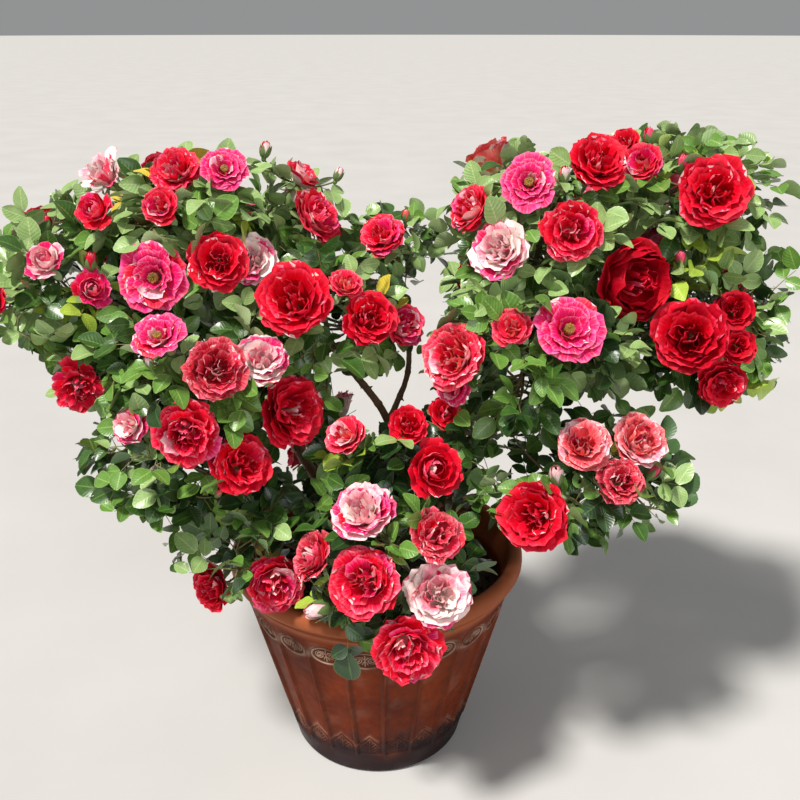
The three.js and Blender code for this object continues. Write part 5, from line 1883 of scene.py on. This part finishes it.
def round_rose(rose):
    """A rose like a ball: petals that curve in over each other, with a few loose ones below."""
    start = rose_random.uniform(0, 6.28)
    dome = rose_random.uniform(0.52, 0.64)
    rings = ((7, 1.0, 0.04), (7, 0.96, 0.3), (6, 0.84, 0.48), (5, 0.64, 0.58))
    for ring, count, out, high, wobble, turn in petals_in_rings(start, rings, 5):
        high_tip = high + 0.06 * wobble[1]
        line = [(0.06, -0.5), (out * 0.95, -0.46), (out * 1.1 + 0.04 * wobble[2], high * 0.62),
                (out * 0.84 + 0.09 * wobble[0], high_tip)]
        if ring == 0:
            line[1:] = (0.52, -0.46), (0.84, 0.1 + 0.04 * wobble[2]), (1.0 + 0.04 * wobble[0], high_tip)
        add_petal(petals, rose, share=1.0 - 0.24 * ring, same_back=ring > 0,
                  turn=turn + 0.14 * wobble[3], line=line, half_angle=5.6 / count * (1 + 0.08 * wobble[4]),
                  round=(0.14, 0.3), notch=(-0.06, 0.12), tuck=(-0.12, 0.12), curl=(-0.08, 0.12),
                  ruffle=(0.04, 0.085), waves=(3.0, 6.5), roll=(-0.02, 0.06))
    crumpled_heart(rose, start, 3, 0.22, dome)


def open_rose(rose):
    """A rose wide open: rings of broad wavy petals that lie over each other, and a small eye."""
    rings = ((7, 1.0, 0.03), (7, 0.8, 0.13), (6, 0.58, 0.2), (5, 0.34, 0.2))
    for ring, count, out, high, wobble, turn in petals_in_rings(rose_random.uniform(0, 6.28), rings, 4):
        tip = np.array([out * (1 + 0.035 * wobble[0]), high + 0.035 * wobble[1]])
        line = [(0.07, -0.4), (0.1 + 0.3 * out, -0.34),
                tip - (0.36 * out, -0.06 - 0.1 * (ring == 0) + 0.16 * (ring == 3)), tip]
        add_petal(petals, rose, share=out, turn=turn + 0.12 * wobble[2], line=line,
                  half_angle=5.2 / count * (1 + 0.06 * wobble[3]), round=0.2, notch=(-0.02, 0.09),
                  tuck=0.05, curl=(-0.07, 0.05), ruffle=(0.025, 0.06), waves=(4.0, 7.0),
                  roll=(-0.02, 0.03))


def closed_bud(rose):
    turn = rose_random.uniform(0, 6.28)
    for i in range(8):
        share = i / 7
        line = [(0.12, -0.92), (0.55 + 0.08 * share, -0.7), (0.44 + 0.1 * share, 0.45),
                between(share, (0.04, 0.98), (0.14, 0.96), (0.34, 0.86))]
        add_petal(petals, rose, share=share, turn=turn + i * GOLDEN_ANGLE, line=line,
                  half_angle=1.25 - 0.25 * share, round=0.16, tuck=0.1, ruffle=0.012, roll=0.05 * share,
                  thick=0.4)


print("blends of petal colours:", len(BLENDS))

# %% [markdown]
# Each flower is now laid out by its form, or by its style where it has one of its own, and gets
# its five sepals and the place of its hip.

# %% Lay out every flower with its sepals
def flower_axes(face):
    first = unit(np.cross(face, [0.21, 0.93, 0.3]))
    return np.array([first, np.cross(face, first), face])


FORMS = {"full": full_rose, "round": round_rose, "spiral": spiral_rose, "open": open_rose,
         "bud": closed_bud}
HIP_SEATS = {"full": -0.52, "open": -0.42, "bud": -0.96}
HIPS = []
for number, rose in enumerate(ROSES):
    rose["number"], rose["axes"] = number, flower_axes(rose["face"])
    FORMS.get(rose["style"], FORMS[rose["form"]])(rose)
    clasping, seat = rose["form"] == "bud", HIP_SEATS[rose["form"]]
    length = 22 / rose["radius"]
    for i in range(5):
        if clasping:
            line = [(0.1, seat), (0.62, seat + 0.2), (0.64, seat + 0.9),
                    (0.42 + 0.3 * rose_random.random(), seat + 1.45)]
        else:
            line = [(0.08, seat), (0.3 + length * 0.3, seat + 0.04),
                    (0.25 + length * 0.8, seat - 0.1), (0.2 + length, seat - 0.5 * rose_random.random())]
        add_petal(sepals, rose, slots=(0, 1), turn=i * 2 * math.pi / 5, line=line,
                  half_angle=0.62 if clasping else 0.3, round=0.0, thick=0.5, pointed=1.0)
    HIPS.append((rose["at"] + rose["face"] * rose["radius"] * (seat - 0.02), rose["axes"],
                 3.4 + rose["radius"] * 0.045))
petals, sepals = ({name: np.array(values, dtype=int if name in ("front", "back", "rose") else float)
                   for name, values in store.items()} for store in (petals, sepals))
print("petals:", len(petals["at"]), "sepals:", len(sepals["at"]))

# %% [markdown]
# The petals are joined into five pieces, by side and height, as one piece with all of them
# would be too heavy to handle. A petal's shell has one plain kind of colour on its face and
# another on its back.

# %% Build the rose pieces
def build_shells(name, data, grid, materials, map_name, chosen):
    data = {key: values[chosen] for key, values in data.items()}
    points = petal_points(data, grid)
    slots = np.repeat(np.stack([data["front"], data["back"]], 1), grid["cells"], axis=1)
    places = np.broadcast_to(grid["corners"], (len(points), *grid["corners"].shape))
    bake = on_tile(np.repeat(slots, 4, axis=1), places[..., None, :])[..., 0, :]
    quads = repeat_faces(grid["quads"], *points.shape[:2])
    return mesh_from_arrays(name, points.reshape(-1, 3) * MM, [quads], slots.ravel(),
                            {map_name: places.reshape(-1, 2), "OFBake": bake.reshape(-1, 2)}, materials)


SIDES = {"left": LEFT, "right": RIGHT, "back": BACK}
HIGH = np.array([rose["at"][2] > 850 for rose in ROSES])
for name in ("left_high", "left_low", "right_high", "right_low", "back"):
    side, _, level = name.partition("_")
    wanted = np.array([NAMES[rose["mass"]] in SIDES[side] for rose in ROSES])
    if level:
        wanted &= HIGH == (level == "high")
    shells = build_shells(name, petals, PETAL_GRID, PETAL_MATERIALS, "petal", wanted[petals["rose"]])
    finish_piece(shells, "roses_" + name, "petals", [f"mass_{m}" for m in SIDES[side]])

# %% [markdown]
# ## Hips and sepals
# The hip is the small green cup under the petals. A ball is modelled once and turned to each
# flower's axis; the sepals are pointed shells made like the petals.

# %% Build hips and sepals
clear_selection()
bpy.ops.mesh.primitive_uv_sphere_add(segments=10, ring_count=6, radius=1.0)
open_mesh()
bpy.ops.transform.resize(value=(1.0, 1.0, 1.25))
settle(bpy.context.object)
ball_points, ball_faces = take_apart(bpy.context.object)
ball_quads, ball_ends = (np.array([f for f in ball_faces if len(f) == corners]) for corners in (4, 3))
points, faces, slots = join_arrays([(place + (ball_points * size) @ axes, ball_quads, ball_ends, 1)
                                    for place, axes, size in HIPS])
spots = np.random.default_rng(5).random((sum(f.size for f in faces), 2))
green_skins = [
    weathered_finish("sepal_inside", 5.0, (0.3, 0.4, 0.17), (0.22, 0.33, 0.12), 0.35, 0.5, 0.3, 0.0005,
                     "leaf"),
    weathered_finish("sepal_outside", 5.0, (0.11, 0.22, 0.06), (0.17, 0.24, 0.07), 0.35, 0.5, 0.3, 0.0005,
                     "leaf")]
hips = mesh_from_arrays("hips", points * MM, faces, slots,
                        {"leaf": spots, "OFBake": on_tile([1], spots[None])[0]}, green_skins)
green = build_shells("sepals_and_hips", sepals, SEPAL_GRID, green_skins, "leaf", slice(None))
finish_piece(join(green, hips), "sepals_and_hips", "foliage", ALL_MASS_NODES)

# %% [markdown]
# ## Stamens
# The open roses show their stamens: thin filaments that fan out from the middle, each with a
# small anther, yellow at first and brown later.

# %% Build the stamens
filaments = []
for rose in (rose for rose in ROSES if rose["form"] == "open"):
    for i in range(64):
        out, turn = 0.02 + 0.12 * math.sqrt(i / 63), i * GOLDEN_ANGLE
        lean = np.array([math.cos(turn), math.sin(turn), 0.0])
        foot = lean * out * 0.35 + (0, 0, -0.36)
        head = lean * out + (0, 0, 0.08 + 0.05 * rose_random.random() - 0.3 * out)
        line = np.array([foot, (foot + head) / 2 + lean * 0.02, head]) * rose["radius"]
        line = rose["at"] + line @ rose["axes"]
        anther = line[-1] + np.outer((0, 1.2, 2.4), unit(line[-1] - line[-2]))
        filaments += [make_tube(line, 0.35, 0.3, 3, 0), make_tube(anther, 0.95, 0.8, 4, 1)]
points, faces, slots = join_arrays(filaments)
finish_piece(mesh_from_arrays("stamens", points * MM, faces, slots), "stamens", "petals", ALL_MASS_NODES,
             plain_bark("stamen_stalk", (0.62, 0.48, 0.14), (0.5, 0.36, 0.1), 0.5),
             plain_bark("stamen_head", (0.48, 0.3, 0.05), (0.28, 0.16, 0.05), 0.7))
